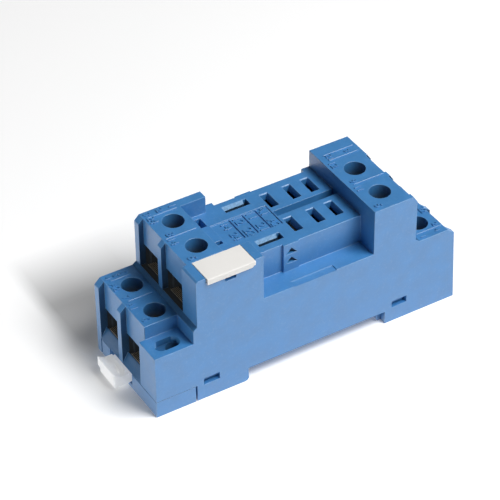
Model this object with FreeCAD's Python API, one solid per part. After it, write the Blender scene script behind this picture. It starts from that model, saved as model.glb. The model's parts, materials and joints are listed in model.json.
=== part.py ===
import FreeCAD, Part
import os

# Relay socket for a 35 mm top-hat rail, two terminal levels at each end.
# Millimetres. X runs along the socket from its clip end, Y from its near side, Z up.
# The origin is the centre of the rail seat.

# Overall sizes
width = 26.4
left_foot = 22.95
rail_recess = 35.4
right_foot = 18.65
seat_height = 3.4
low_height = 19.9
high_height = 32.9
platform_height = 28.6
near_shelf_height = 21.3
screw_shelf_height = 16.4

# Clip end of the housing, measured inwards from that end
left_rib_depth = 1.45
left_low_depth = 9.5
ridge_run = 0.95
ridge_rise = 0.75
high_rib_depth = 1.2
high_rib_drop = 1.2
low_rib_drop = 1.4
post_chamfer = 0.45
left_block_depth = 20.6
left_post_depth = 26.9
left_post_width = 6.05
left_fin_width = 2.35
left_shelf_width = 6.75

# Other end of the housing, measured inwards from that end
end_draft = 0.65
right_rib_depth = 2.35
right_low_depth = 9.9
right_ridge_run = 1.1
right_high_face = 12.4
right_head_run = 1.0
right_head_drop = 1.55
right_block_depth = 22.1
right_post_width = 8.1
right_shelf_width = 7.3
right_near_rib = 1.5

# Terminal lanes
row_pitch = 9.85
left_row_near = 10.6
right_row_near = 5.7
left_mid_rib = 15.6
right_mid_rib = 10.2
mid_rib_width = 1.6
far_wall = 1.9
left_low_axis = 6.13
left_high_axis = 16.77
right_low_axis = 6.8
right_high_axis = 17.13
sill_inner = 7.0
sill_outer = 4.4
entry_depth = 1.2
high_entry_rise = 0.6

# Clamp terminal, from the mouth of its access hole downwards
access_hole = 4.85
screw_depth = 3.95
head_height = 1.1
head_diameter = 5.4
head_bore = 5.8
screw_diameter = 3.0
screw_slot_width = 0.8
screw_slot_depth = 0.55
thread_clearance = 0.05
cage_travel = 2.5
cage_plate = 1.1
cage_wall = 0.6
cage_width = 6.0
cage_length = 4.6
cage_floor = 0.7
cage_corner = 0.6
serration_depth = 0.2
serration_pitch = 0.8
serration_count = 5
notch_width = 0.53
screw_tip_gap = 0.025
wire_gap = 2.7
chamber_clearance = 0.2
seat_gap = 0.05

# Contact strips
strip_thickness = 0.8
strip_width = 3.8
strip_clearance = 0.1
leaf_thickness = 0.4
leaf_pinch = 0.3
leaf_mouth = 1.5
pinch_drop = 1.7
strip_pass = 0.6
strip_jog = 1.6
jog_width = 2.55
riser_width = 3.15
turn_clearance = 0.9
receptacle_base = 12.2
receptacle_top = 2.4
receptacle_body = 2.4
pocket_wall_gap = 0.4
pocket_end_gap = 0.5

# Relay slots in the platform
slot_line = 15.7
contact_stations = (40.9, 46.65, 51.35)
contact_offset = 4.92
contact_slot_length = 5.2
slot_mouth = 2.15
slot_throat = 1.55
slot_funnel = 0.8
slot_lip = 0.22
slot_roof = 1.9
coil_station = 33.65
coil_offset = 6.94
coil_slot_length = 6.1
coil_slot_throat = 1.85
coil_blade_width = 4.6

# Platform relief
groove_width = 1.85
groove_depth = 3.0
groove_start = 39.45
text_start = 25.2
text_end = 39.15
text_width = 7.3
text_depth = 0.3
text_lines = (29.8, 33.15, 36.36)
text_line_width = 0.32
text_line_depth = 0.45
key_slot_width = 2.3
key_slot_start = 22.4
key_slot_depth = 2.5
key_slots = ((12.9, 14.0), (19.8, 22.9))

# Side walls of the platform
platform_near = 5.4
platform_near_setback = 0.35
platform_far = 1.1
panel_start = 35.0
panel_width = 4.0
panel_proud = 0.3
arrow_width = 3.0
arrow_height = 1.55
arrow_depth = 1.5
arrow_tops = (27.4, 24.95)
far_recess_start = 29.7
far_recess_end = 24.2
field_start = 34.75
field_end = 45.35
field_depth = 1.8
field_sink = 0.2

# Panel screw wells, one in each screw shelf
well_axis = 4.8
well_setback = 3.25
far_well_setback = 3.65
well_length = 6.0
well_width = 3.4
well_depth = 1.6
screw_hole = 3.2
screw_hole_shift = 1.3

# Base cover and its snaps
skirt = 1.6
cover_gap = 0.05
cover_top = 4.25
cover_plate = 1.5
cover_wall = 1.2
ear_length = 9.7
ear_gap = 0.4
snap_start_left = 11.76
snap_start_right = 16.82
snap_width = 3.91
snap_low = 3.9
snap_high = 5.63
snap_gap = 0.15
snap_tab = 1.1
snap_nose = 0.5
snap_nose_flat = 0.75
hook_reach = 1.3
hook_height = 1.9
hook_lead = 0.5
hook_lead_height = 0.75
hook_width = 7.7
rail_relief = 0.2
rail_relief_gap = 0.3
post_side = 2.6
post_length = 1.75
end_wall = 1.7
cover_end_groove = 0.35
cover_end_groove_depth = 1.5
clip_mouth_near = 4.9
clip_mouth_far = 5.0
clip_mouth_depth = 1.0

# Rail clip
clip_width = 7.6
clip_line = 15.8
clip_plate = 2.0
clip_bottom = 1.1
clip_gap = 0.1
clip_travel = 2.5
clip_ledge = 1.5
clip_nose = 1.35
clip_nose_top = 2.3
clip_reach = 3.75
clip_handle_bottom = 0.8
clip_handle_top = 3.55
clip_lip_top = 4.5
clip_ramp = 1.65
clip_tip = 0.2
clip_tip_drop = 0.1
clip_toe = 0.35
clip_corner_width = 1.1
clip_corner_low = 2.05
clip_corner_high = 2.45
leg_width = 1.3
leg_slit = 0.9
leg_start = 6.0
leg_length = 11.0
leg_bump = 0.8
leg_bump_length = 1.2
leg_bump_flat = 0.5
clip_ridge_length = 5.2
clip_ridge_height = 0.55
clip_ridge_width = 0.9
clip_ridge_top = 0.55
clip_slot_length = 1.9
clip_slot_width = 0.6
clip_slot_line = 1.4

# Marker tag
tag_start = 12.95
tag_length = 11.7
tag_thickness = 1.0
tag_overhang = 0.6
tag_lip = 1.42
tag_gap = 0.1
tag_corner = 0.8
tag_notch_start = 17.5
tag_notch_length = 2.7
tag_notch_height = 1.27
tag_notch_depth = 1.0
tag_notch_gap = 0.12

# Corner radii
foot_radius = 1.0
edge_radius = 0.25

x_left = -(left_foot + rail_recess / 2)
x_right = rail_recess / 2 + right_foot
y_near = -width / 2
y_far = width / 2
z_floor = -seat_height
over = 1.0


def left(d):
    """Station at a distance from the clip end."""
    return x_left + d


def right(d):
    """Station at a distance from the other end."""
    return x_right - d


def deep(d):
    """Place at a distance from the near side."""
    return y_near + d


def high(d):
    """Level at a height above the feet."""
    return z_floor + d


def block(x0, x1, y0, y1, z0, z1):
    xa, xb = min(x0, x1), max(x0, x1)
    ya, yb = min(y0, y1), max(y0, y1)
    return Part.makeBox(xb - xa, yb - ya, z1 - z0, FreeCAD.Vector(xa, ya, z0))


def prism(points, travel):
    wire = Part.makePolygon([FreeCAD.Vector(*p) for p in points + points[:1]])
    return Part.Face(wire).extrude(FreeCAD.Vector(*travel))


def prism_y(outline, y0, y1):
    """Outline in X and Z, carried from y0 to y1."""
    return prism([(x, y0, z) for x, z in outline], (0, y1 - y0, 0))


def prism_x(outline, x0, x1):
    """Outline in Y and Z, carried from x0 to x1."""
    return prism([(x0, y, z) for y, z in outline], (x1 - x0, 0, 0))


def post(x, y, z0, z1, diameter):
    return Part.makeCylinder(diameter / 2, z1 - z0, FreeCAD.Vector(x, y, z0))


def obround(x, y, z0, z1, length, across):
    straight = (length - across) / 2
    middle = block(x - straight, x + straight, y - across / 2, y + across / 2, z0, z1)
    ends = [post(x + s * straight, y, z0, z1, across) for s in (-1, 1)]
    return middle.fuse(ends)


def rounded(shape, radius, chosen):
    edges = [e for e in shape.Edges if chosen(e)]
    return shape.makeFillet(radius, edges) if edges else shape


def save(name, shape):
    solid = shape.removeSplitter()
    if len(solid.Solids) == 1:
        solid = solid.Solids[0]
    print(name, len(solid.Solids), "solid", round(solid.Volume, 2), solid.isValid())
    solid.exportStep("parts/" + name + ".step")


class Terminal:
    """One clamp terminal: where its screw stands and which way its wire goes in."""

    def __init__(self, name, x, y, mouth, face, inward, lane, sill):
        self.name = name
        self.x = x
        self.y = y
        self.mouth = mouth
        self.face = face
        self.inward = inward
        self.lane = lane
        self.sill = sill
        self.head_top = mouth - screw_depth
        self.head_under = self.head_top - head_height
        self.cage_top = self.head_under - seat_gap - cage_travel
        self.bar_top = self.cage_top - cage_plate - seat_gap
        self.bar_under = self.bar_top - strip_thickness
        self.floor_top = self.bar_under - wire_gap
        self.cage_bottom = self.floor_top - cage_floor
        self.half_length = cage_length / 2 + chamber_clearance
        self.half_width = cage_width / 2 + chamber_clearance


def make_terminals():
    rib = mid_rib_width / 2
    left_far_edge = width - far_wall
    left_lanes_low = ((left_shelf_width, left_mid_rib - rib), (left_mid_rib + rib, left_far_edge))
    left_lanes_high = ((left_post_width, left_mid_rib - rib), (left_mid_rib + rib, left_far_edge))
    right_lanes_low = ((right_near_rib, right_mid_rib - rib),
                       (right_mid_rib + rib, width - right_shelf_width))
    right_lanes_high = ((right_near_rib, right_mid_rib - rib),
                        (right_mid_rib + rib, width - right_post_width))
    ridge_top = low_height + ridge_rise
    high_face = left_low_depth + ridge_run + high_rib_depth
    found = []
    for row, side in enumerate(("near", "far")):
        y_left = deep(left_row_near + row * row_pitch)
        y_right = deep(right_row_near + row * row_pitch)
        found.append(Terminal("left_low_" + side, left(left_low_axis), y_left, high(low_height),
                              left(left_rib_depth), 1, left_lanes_low[row], high(sill_inner)))
        found.append(Terminal("left_high_" + side, left(left_high_axis), y_left, high(high_height),
                              left(high_face), 1, left_lanes_high[row], high(ridge_top)))
        found.append(Terminal("right_low_" + side, right(right_low_axis), y_right, high(low_height),
                              right(right_rib_depth), -1, right_lanes_low[row], high(sill_inner)))
        found.append(Terminal("right_high_" + side, right(right_high_axis), y_right,
                              high(high_height), right(right_high_face), -1,
                              right_lanes_high[row], high(ridge_top)))
    return {t.name: t for t in found}


def clamp_screw(t):
    """Slotted head on a plain shank that bears on the strip."""
    head = post(t.x, t.y, t.head_under, t.head_top, head_diameter)
    slot = block(t.x - head_diameter, t.x + head_diameter, t.y - screw_slot_width / 2,
                 t.y + screw_slot_width / 2, t.head_top - screw_slot_depth, t.head_top + over)
    shank = post(t.x, t.y, t.bar_top + screw_tip_gap, t.head_under, screw_diameter)
    return head.cut(slot).fuse(shank)


def clamp_cage(t):
    """Square sheet-metal loop that the screw draws up, with a serrated floor."""
    half = cage_length / 2
    side = cage_width / 2
    bend = side - cage_corner
    low, top = t.cage_bottom, t.cage_top
    outline = [(-side, low + cage_corner), (-side, top - cage_corner), (-bend, top), (bend, top),
               (side, top - cage_corner), (side, low + cage_corner), (bend, low), (-bend, low)]
    body = prism_x([(t.y + v, z) for v, z in outline], t.x - half, t.x + half)
    body = body.cut(block(t.x - half - over, t.x + half + over, t.y - side + cage_wall,
                          t.y + side - cage_wall, t.floor_top, t.cage_top - cage_plate))
    body = body.cut(post(t.x, t.y, t.floor_top, t.cage_top + over,
                         screw_diameter + 2 * thread_clearance))
    inner = side - cage_wall
    for i in range(serration_count):
        x = t.x + (i - (serration_count - 1) / 2) * serration_pitch
        notch = [(x - notch_width / 2, t.floor_top), (x + notch_width / 2, t.floor_top),
                 (x, t.floor_top - serration_depth)]
        body = body.cut(prism_y(notch, t.y - inner, t.y + inner))
    return body


def bar(t, reach):
    """Flat end of a strip inside a cage, from the entry side to a station further in."""
    start = t.x - t.inward * t.half_length + t.inward * seat_gap
    half = strip_width / 2
    return block(start, reach, t.y - half, t.y + half, t.bar_under, t.bar_top)


def receptacle(x, y, across, along):
    """Base and two sprung leaves that grip a relay blade; across is the gripping direction."""
    base_z = high(platform_height - receptacle_base)
    top_z = high(platform_height - receptacle_top)
    half = receptacle_body / 2
    pinch_z = top_z - leaf_pinch - pinch_drop
    along_half = along / 2
    leaves = []
    for s in (-1, 1):
        inner = [(s * (half - leaf_thickness), base_z), (s * (half - leaf_thickness), base_z + half),
                 (s * leaf_pinch / 2, pinch_z), (s * leaf_mouth / 2, top_z)]
        outer = [(s * (leaf_mouth / 2 + leaf_thickness), top_z),
                 (s * (leaf_pinch / 2 + leaf_thickness), pinch_z),
                 (s * half, base_z + half), (s * half, base_z)]
        if across == "x":
            leaves.append(prism_y([(x + u, z) for u, z in inner + outer], y - along_half,
                                  y + along_half))
        else:
            leaves.append(prism_x([(y + u, z) for u, z in inner + outer], x - along_half,
                                  x + along_half))
    if across == "x":
        base = block(x - half, x + half, y - along_half, y + along_half,
                     base_z - strip_thickness, base_z)
    else:
        base = block(x - along_half, x + along_half, y - half, y + half,
                     base_z - strip_thickness, base_z)
    return base.fuse(leaves)


def slot_y(row, offset):
    return deep(slot_line + (2 * row - 1) * offset)


def run_level():
    """Underside of the bases of the receptacles."""
    return high(platform_height - receptacle_base) - strip_thickness


def coil_strip(t, row):
    """Low terminal at the clip end to the coil receptacle."""
    x, y = left(coil_station), slot_y(row, coil_offset)
    half = coil_blade_width / 2
    flat = bar(t, x + half)
    riser = block(x - half, x + half, y - strip_thickness / 2, y + strip_thickness / 2,
                  t.bar_under, run_level())
    return [flat, riser, receptacle(x, y, "y", coil_blade_width)]


def first_contact_strip(t, row):
    """High terminal at the clip end, down and past the coil receptacle to the first slot."""
    x, y = left(contact_stations[0]), slot_y(row, contact_offset)
    turn = left(left_block_depth) + strip_thickness
    z0, z1 = run_level(), run_level() + strip_thickness
    toward_line = 1 - 2 * row
    edge = y + toward_line * (strip_width / 2 + strip_pass)
    inner = edge - toward_line * strip_width / 2
    drop = block(turn, turn + strip_thickness, t.y - toward_line * strip_width / 2, edge, z0,
                 t.bar_top)
    neck = block(turn, x + receptacle_body / 2, inner, edge, z0, z1)
    return [bar(t, turn + strip_thickness), drop, neck, receptacle(x, y, "x", strip_width)]


def second_contact_strip(t, row):
    """Middle slot, down and under the high terminals to the low terminal at the other end."""
    x, y = left(contact_stations[1]), slot_y(row, contact_offset)
    half = strip_width / 2
    start = x - receptacle_body / 2
    jog = right(right_low_axis) - t.half_length - strip_jog
    drop = block(start, start + strip_thickness, y - half, y + half, t.bar_under, run_level())
    flat = block(start, jog, y - half, y + half, t.bar_under, t.bar_top)
    cross = block(jog - jog_width, jog, t.y - half, y + half, t.bar_under, t.bar_top)
    return [bar(t, jog - jog_width), drop, flat, cross, receptacle(x, y, "x", strip_width)]


def third_contact_strip(t, row):
    """Last slot, across and up to the high terminal at the other end."""
    x, y = left(contact_stations[2]), slot_y(row, contact_offset)
    half = strip_width / 2
    turn = right(right_block_depth) + turn_clearance
    z0, z1 = run_level(), run_level() + strip_thickness
    flat = block(x, turn + strip_thickness, y - half, y + half, z0, z1)
    cross = block(turn + strip_thickness - riser_width, turn + strip_thickness, t.y - half,
                  y + half, z0, z1)
    riser = block(turn, turn + strip_thickness, t.y - half, t.y + half, z0, t.bar_top)
    return [bar(t, turn), flat, cross, riser, receptacle(x, y, "x", strip_width)]


def make_strips(terminals):
    """Every strip as its list of flats, by node name."""
    strips = {}
    for row, side in enumerate(("near", "far")):
        strips["coil_strip_" + side] = coil_strip(terminals["left_low_" + side], row)
        strips["first_contact_strip_" + side] = first_contact_strip(
            terminals["left_high_" + side], row)
        strips["second_contact_strip_" + side] = second_contact_strip(
            terminals["right_low_" + side], row)
        strips["third_contact_strip_" + side] = third_contact_strip(
            terminals["right_high_" + side], row)
    return strips


def strip_channel(pieces):
    """Room for a strip, open downwards, because the strips go in from below."""
    room = []
    for piece in pieces:
        b = piece.BoundBox
        g = strip_clearance
        room.append(block(b.XMin - g, b.XMax + g, b.YMin - g, b.YMax + g, high(cover_top),
                          b.ZMax + g))
    return room


def housing_outline():
    low_top = high(low_height)
    top = high(high_height)
    step = left_low_depth + ridge_run
    right_step = right_low_depth + right_ridge_run
    return [
        (left(0), high(0)),
        (left(0), low_top - low_rib_drop),
        (left(left_rib_depth), low_top),
        (left(left_low_depth), low_top),
        (left(step), low_top + ridge_rise),
        (left(step), top - post_chamfer),
        (left(step + post_chamfer), top),
        (right(right_step + right_head_run), top),
        (right(right_step), top - right_head_drop),
        (right(right_step), low_top + ridge_rise),
        (right(right_low_depth), low_top),
        (right(right_rib_depth), low_top),
        (right(end_draft), low_top - low_rib_drop),
        (right(0), high(0)),
        (right(right_foot), high(0)),
        (right(right_foot), high(seat_height)),
        (left(left_foot), high(seat_height)),
        (left(left_foot), high(0)),
    ]


def end_reliefs(terminals):
    """Recessed wire faces between the ribs, with their sills, and the shelves."""
    top = high(high_height) + over
    low_top = high(low_height)
    cuts = []
    for t in terminals.values():
        y0, y1 = deep(t.lane[0]), deep(t.lane[1])
        outside = t.face - t.inward * (left_rib_depth + right_rib_depth)
        if t.mouth > low_top:
            cuts.append(block(t.face, outside, y0, y1, t.sill, top))
            continue
        end = left(0) if t.inward > 0 else right(0)
        slope = (sill_inner - sill_outer) / abs(end - t.face)
        drop = high(sill_inner) - slope * abs(outside - t.face)
        cuts.append(prism_y([(t.face, high(sill_inner)), (t.face, low_top + over),
                             (outside, low_top + over), (outside, drop)], y0, y1))
    shelf_top = low_top + ridge_rise
    cuts.append(block(left(-over), left(left_low_depth), deep(-over), deep(left_shelf_width),
                      high(screw_shelf_height), shelf_top))
    cuts.append(block(right(-over), right(right_low_depth), deep(width - right_shelf_width),
                      deep(width + over), high(screw_shelf_height), shelf_top))
    return cuts


def rib_chamfer():
    """Sloping heads of the high ribs at the clip end, deeper than the chamfer on the post there."""
    top = high(high_height)
    step = left_low_depth + ridge_run
    outline = [(left(step), top - high_rib_drop), (left(step + high_rib_depth), top),
               (left(step), top + over), (left(step - over), top)]
    return prism_y(outline, deep(left_post_width), deep(width + over))


def platform_cuts():
    """Everything taken away between the two high blocks."""
    top = high(high_height) + over
    z = high(platform_height)
    x1 = right(right_block_depth)
    shelf = high(near_shelf_height)
    near = platform_near - panel_proud
    far = width - platform_far + panel_proud
    panel_end = panel_start + panel_width
    far_end = right(far_recess_end)
    cuts = [
        block(left(left_block_depth), x1, deep(left_post_width), deep(width - left_fin_width), z, top),
        block(left(left_post_depth), x1, deep(-over), deep(left_post_width), z, top),
        block(left(left_post_depth), x1, deep(width - left_fin_width), deep(width + over), z, top),
        block(left(left_post_depth), x1, deep(-over), deep(near), shelf, z + over),
        block(left(panel_end), x1, deep(-over), deep(platform_near), shelf, z + over),
        block(left(left_post_depth), left(panel_start), deep(-over),
              deep(platform_near + platform_near_setback), shelf, z + over),
        block(left(far_recess_start), far_end, deep(far), deep(width + over), shelf, z + over),
        block(left(far_recess_start), left(panel_start), deep(width - platform_far),
              deep(width + over), shelf, z + over),
        block(left(panel_end), far_end, deep(width - platform_far), deep(width + over), shelf,
              z + over),
        block(left(field_start), left(field_end), deep(-over), deep(field_depth),
              shelf - field_sink, shelf + over),
        block(left(groove_start), x1, deep(slot_line - groove_width / 2),
              deep(slot_line + groove_width / 2), z - groove_depth, z + over),
        block(left(text_start), left(text_end), deep(slot_line - text_width / 2),
              deep(slot_line + text_width / 2), z - text_depth, z + over),
    ]
    for y0, y1 in key_slots:
        cuts.append(block(left(key_slot_start), left(key_slot_start + key_slot_width), deep(y0),
                          deep(y1), z - key_slot_depth, z + over))
    for station in text_lines:
        cuts.append(block(left(station - text_line_width / 2), left(station + text_line_width / 2),
                          deep(slot_line - text_width / 2), deep(slot_line + text_width / 2),
                          z - text_depth - text_line_depth, z))
    middle = left(panel_start + panel_width / 2)
    for apex in arrow_tops:
        cuts.append(arrow(middle, deep(near), high(apex)))
    return cuts


def arrow(x, y, apex):
    """Three-cornered pocket that points up, deepest at its foot."""
    base = apex - arrow_height
    corners = [FreeCAD.Vector(x, y - seat_gap, apex),
               FreeCAD.Vector(x - arrow_width / 2, y - seat_gap, base),
               FreeCAD.Vector(x + arrow_width / 2, y - seat_gap, base),
               FreeCAD.Vector(x, y + arrow_depth, base)]
    faces = []
    for skipped in range(4):
        ring = [c for i, c in enumerate(corners) if i != skipped]
        faces.append(Part.Face(Part.makePolygon(ring + ring[:1])))
    return Part.Solid(Part.Shell(faces))


def mouth_ring(x, y, z, half_x, half_y):
    """Closed rectangular wire round a slot at one height."""
    corners = [(-half_x, -half_y), (half_x, -half_y), (half_x, half_y), (-half_x, half_y)]
    points = [FreeCAD.Vector(x + u, y + v, z) for u, v in corners]
    return Part.makePolygon(points + points[:1])


def funnel(x, y, length, throat, lip, across):
    """Relay slot: a chamfered mouth, a funnel and a parallel throat."""
    z = high(platform_height)
    mouth, narrow = slot_mouth / 2, throat / 2
    at_lip = mouth - (mouth - narrow) * slot_lip / slot_funnel
    end = length / 2 - lip
    sizes = [(mouth, length / 2, z), (at_lip, end, z - slot_lip), (narrow, end, z - slot_funnel),
             (narrow, end, z - slot_roof - over)]
    rings = []
    for short, long, level in sizes:
        half_x, half_y = (short, long) if across == "x" else (long, short)
        rings.append(mouth_ring(x, y, level, half_x, half_y))
    return Part.makeLoft(rings, True, True)


def relay_slots():
    """Funnels in the platform and the pockets under them for the receptacles."""
    roof = high(platform_height - slot_roof)
    bottom = high(cover_top)
    half_pocket = receptacle_body / 2 + pocket_wall_gap
    cuts = []
    for row in (0, 1):
        y = slot_y(row, contact_offset)
        reach = strip_width / 2 + pocket_end_gap
        for station in contact_stations:
            x = left(station)
            cuts.append(funnel(x, y, contact_slot_length, slot_throat, slot_lip, "x"))
            cuts.append(block(x - half_pocket, x + half_pocket, y - reach, y + reach, bottom, roof))
        x, y = left(coil_station), slot_y(row, coil_offset)
        reach = coil_blade_width / 2 + pocket_end_gap
        cuts.append(funnel(x, y, coil_slot_length, coil_slot_throat, 0, "y"))
        cuts.append(block(x - reach, x + reach, y - half_pocket, y + half_pocket, bottom, roof))
    return cuts


def terminal_cuts(t):
    """Access hole, room for the head, chamber for the cage and the wire entry."""
    chamber_top = t.head_under - seat_gap + chamber_clearance / 2
    x0 = t.x - t.half_length
    x1 = t.x + t.half_length
    inner_face = t.x - t.inward * t.half_length
    entry_end = t.face + t.inward * entry_depth
    entry_top = t.cage_top + (high_entry_rise if t.mouth > high(low_height) else 0)
    bottom = high(cover_top)
    return [
        post(t.x, t.y, t.head_top, t.mouth + over, access_hole),
        post(t.x, t.y, t.head_under - over, t.head_top + seat_gap * 2, head_bore),
        block(x0, x1, t.y - t.half_width, t.y + t.half_width, bottom, chamber_top),
        block(t.face - t.inward * over, entry_end, deep(t.lane[0]), deep(t.lane[1]), t.sill,
              entry_top),
        block(entry_end, inner_face, t.y - t.half_width, t.y + t.half_width, t.sill, entry_top),
    ]


def well(side):
    """Panel screw well: an obround mouth and a round hole below it."""
    if side == "left":
        x, y, shift = left(well_axis), deep(well_setback), screw_hole_shift
    else:
        x, y, shift = right(well_axis + end_draft), deep(width - far_well_setback), -screw_hole_shift
    z = high(screw_shelf_height)
    mouth = obround(x, y, z - well_depth, z + over, well_length, well_width)
    return mouth, post(x + shift, y, high(-over), z, screw_hole)


def foot_corner(edge):
    """True for the lower inner edge of the foot at the clip end."""
    b = edge.BoundBox
    at_foot = abs(b.XMin - left(left_foot)) < over / 100 and b.XLength < over / 100
    return at_foot and b.ZMax < high(over / 100)


def cover_room():
    """Space inside the skirts that the base cover fills."""
    near, far = deep(skirt), deep(width - skirt)
    feet = high(cover_top)
    return [
        block(left(-over), left(left_foot) + over, near, far, high(-over), feet),
        block(left(-over), left(ear_length + ear_gap), deep(-over), near, high(-over), feet),
        block(left(left_foot), right(right_foot), near, far, high(seat_height - over),
              high(seat_height + cover_plate)),
        block(right(right_foot) - over, right(end_wall), near, far, high(-over), feet),
    ]


def snap_places():
    """Start of each snap window and the side it is on."""
    starts = (left(snap_start_left), right(snap_start_right))
    return [(x, side) for x in starts for side in (-1, 1)]


def snap_windows():
    cuts = []
    for x, side in snap_places():
        outside = side * (width / 2 + over)
        wall = side * (width / 2 - skirt)
        behind = wall - side * (snap_tab + snap_gap)
        cuts.append(block(x, x + snap_width, outside, wall, high(snap_low), high(snap_high)))
        cuts.append(block(x, x + snap_width, wall, behind, high(cover_top - over), high(snap_high)))
    return cuts


def make_housing(terminals, strips):
    body = rounded(prism_y(housing_outline(), y_near, y_far), foot_radius, foot_corner)
    cuts = end_reliefs(terminals) + [rib_chamfer()] + platform_cuts() + relay_slots()
    for t in terminals.values():
        cuts += terminal_cuts(t)
    for pieces in strips.values():
        cuts += strip_channel(pieces)
    for side in ("left", "right"):
        cuts += well(side)
    cuts += cover_room() + snap_windows()
    cuts.append(block(left(tag_start - tag_gap), left(tag_start + tag_length + tag_gap),
                      deep(-over), deep(left_post_width), high(high_height) - tag_thickness,
                      high(high_height) + over))
    notch_top = high(high_height - tag_lip) - tag_notch_gap
    cuts.append(block(left(tag_notch_start), left(tag_notch_start + tag_notch_length), deep(-over),
                      deep(tag_notch_depth), notch_top - tag_notch_height, notch_top))
    return body.cut(cuts)


def snap_tab_solid(x, side):
    """Upright tab with a sloping nose that springs into its window."""
    wall = side * (width / 2 - skirt)
    back = wall - side * snap_tab
    nose = wall + side * snap_nose
    g = snap_gap
    low, top = high(snap_low) + g, high(snap_high) - g
    outline = [(back, high(cover_top) - g), (back, top), (wall - side * g, top),
               (nose, low + snap_nose_flat), (nose, low), (wall - side * g, low),
               (wall - side * g, high(cover_top) - g)]
    return prism_x(outline, x + g, x + snap_width - g)


def support_posts():
    """Posts on the cover that carry the strips' flats."""
    base = high(cover_top) - cover_gap
    low_flat = high(low_height) - screw_depth - head_height - cage_travel - cage_plate
    low_flat -= strip_thickness + 2 * seat_gap
    half, long_half = post_side / 2, post_length / 2
    posts = []
    for row in (0, 1):
        y_coil = deep(left_row_near + row * row_pitch)
        y_slot = slot_y(row, contact_offset)
        y_high = deep(right_row_near + row * row_pitch)
        turn = right(right_block_depth) + turn_clearance
        spots = [(left((left_block_depth + coil_station) / 2), y_coil, low_flat),
                 (left(contact_stations[0]), y_slot, run_level()),
                 (left(contact_stations[2]), y_slot, low_flat),
                 (turn - half, y_high, run_level())]
        for x, y, z in spots:
            foot = base if abs(x) > rail_recess / 2 else high(seat_height + cover_plate) - cover_gap
            posts.append(block(x - long_half, x + long_half, y - half, y + half, foot - cover_gap, z))
    return posts


def make_cover():
    """Base cover: two hollow feet joined by the rail seat, snaps, hook and clip guide."""
    near, far = deep(skirt) + cover_gap, deep(width - skirt) - cover_gap
    top = high(cover_top) - cover_gap
    seat_top = high(seat_height + cover_plate) - cover_gap
    inner_end = right(end_wall) - cover_gap
    body = rounded(block(left(0), left(left_foot), near, far, high(0), top), foot_radius,
                   foot_corner)
    body = body.fuse([
        block(left(0), left(ear_length), deep(0), near, high(0), top),
        block(left(left_foot) - cover_wall, right(right_foot) + cover_wall, near, far,
              high(seat_height), seat_top),
        block(right(right_foot), inner_end, near, far, high(0), top),
    ])
    over_feet = seat_top - top
    body = body.cut([block(left(left_foot) - cover_wall - over, left(left_foot), near - over,
                           far + over, top, top + over_feet + over),
                     block(right(right_foot), right(right_foot) + cover_wall + over, near - over,
                           far + over, top, top + over_feet + over)])
    foot_x = right(right_foot)
    hook_x = foot_x - hook_reach
    hook = [(foot_x, high(0)), (hook_x + hook_lead, high(0)), (hook_x, high(hook_lead_height)),
            (hook_x, high(hook_height)), (foot_x, high(hook_height))]
    body = body.fuse([prism_y(hook, near, near + hook_width), prism_y(hook, far - hook_width, far)])
    body = body.fuse([snap_tab_solid(x, side) for x, side in snap_places()])
    body = body.fuse(support_posts())
    clip_y0 = deep(clip_line - clip_width / 2) - clip_gap
    clip_y1 = deep(clip_line + clip_width / 2) + clip_gap
    z0 = high(clip_bottom) - clip_gap
    z1 = high(clip_bottom + clip_plate) + clip_gap
    open0, open1 = clip_y0 + clip_ledge, clip_y1 - clip_ledge
    notch_start = left(leg_start - clip_travel) - clip_gap
    notch_end = left(leg_start + leg_bump_length) + clip_gap
    roof = top - cover_wall
    wall = cover_wall
    guide = leg_bump + clip_gap + wall
    relief_top = high(seat_height + rail_relief)
    cuts = [
        block(left(left_foot), left(left_foot) + clip_nose + rail_relief_gap, near, far,
              high(seat_height - over), relief_top),
        block(hook_x - rail_relief_gap, foot_x, near, far, high(seat_height - over), relief_top),
        block(left(-over), left(clip_mouth_depth), deep(clip_line - clip_mouth_near),
              deep(clip_line + clip_mouth_far), z0, top + over),
        block(left(-over), left(cover_end_groove_depth), far - cover_end_groove, far + over,
              high(-over), top + over),
        block(left(-over), left(left_foot) + over, clip_y0, clip_y1, z0, z1),
        block(left(-over), left(left_foot) + over, open0, open1, high(-over), z0),
        block(notch_start, notch_end, clip_y0 - leg_bump, clip_y1 + leg_bump, z0, z1),
        block(left(wall), left(left_foot) - wall, clip_y1 + guide, far - wall, high(-over), roof),
        block(right(right_foot) + wall, inner_end - wall, near + wall, far - wall, high(-over), roof),
    ]
    hole_x = left(well_axis + screw_hole_shift)
    boss = screw_hole / 2 + wall
    pocket_end = clip_y0 - guide
    cuts.append(block(hole_x + boss, left(left_foot) - wall, near + wall, pocket_end, high(-over),
                      roof))
    body = body.cut(cuts)
    far_hole = (right(well_axis + end_draft) - screw_hole_shift, deep(width - far_well_setback))
    body = body.fuse(post(far_hole[0], far_hole[1], high(0), top, 2 * boss).common(
        block(right(right_foot), inner_end, near, far, high(0), top)))
    rib_x = right(right_foot / 2)
    body = body.fuse(block(rib_x - wall / 2, rib_x + wall / 2, near, far, high(0), roof + wall / 2))
    body = body.cut([well(side)[1] for side in ("left", "right")])
    return body


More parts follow.
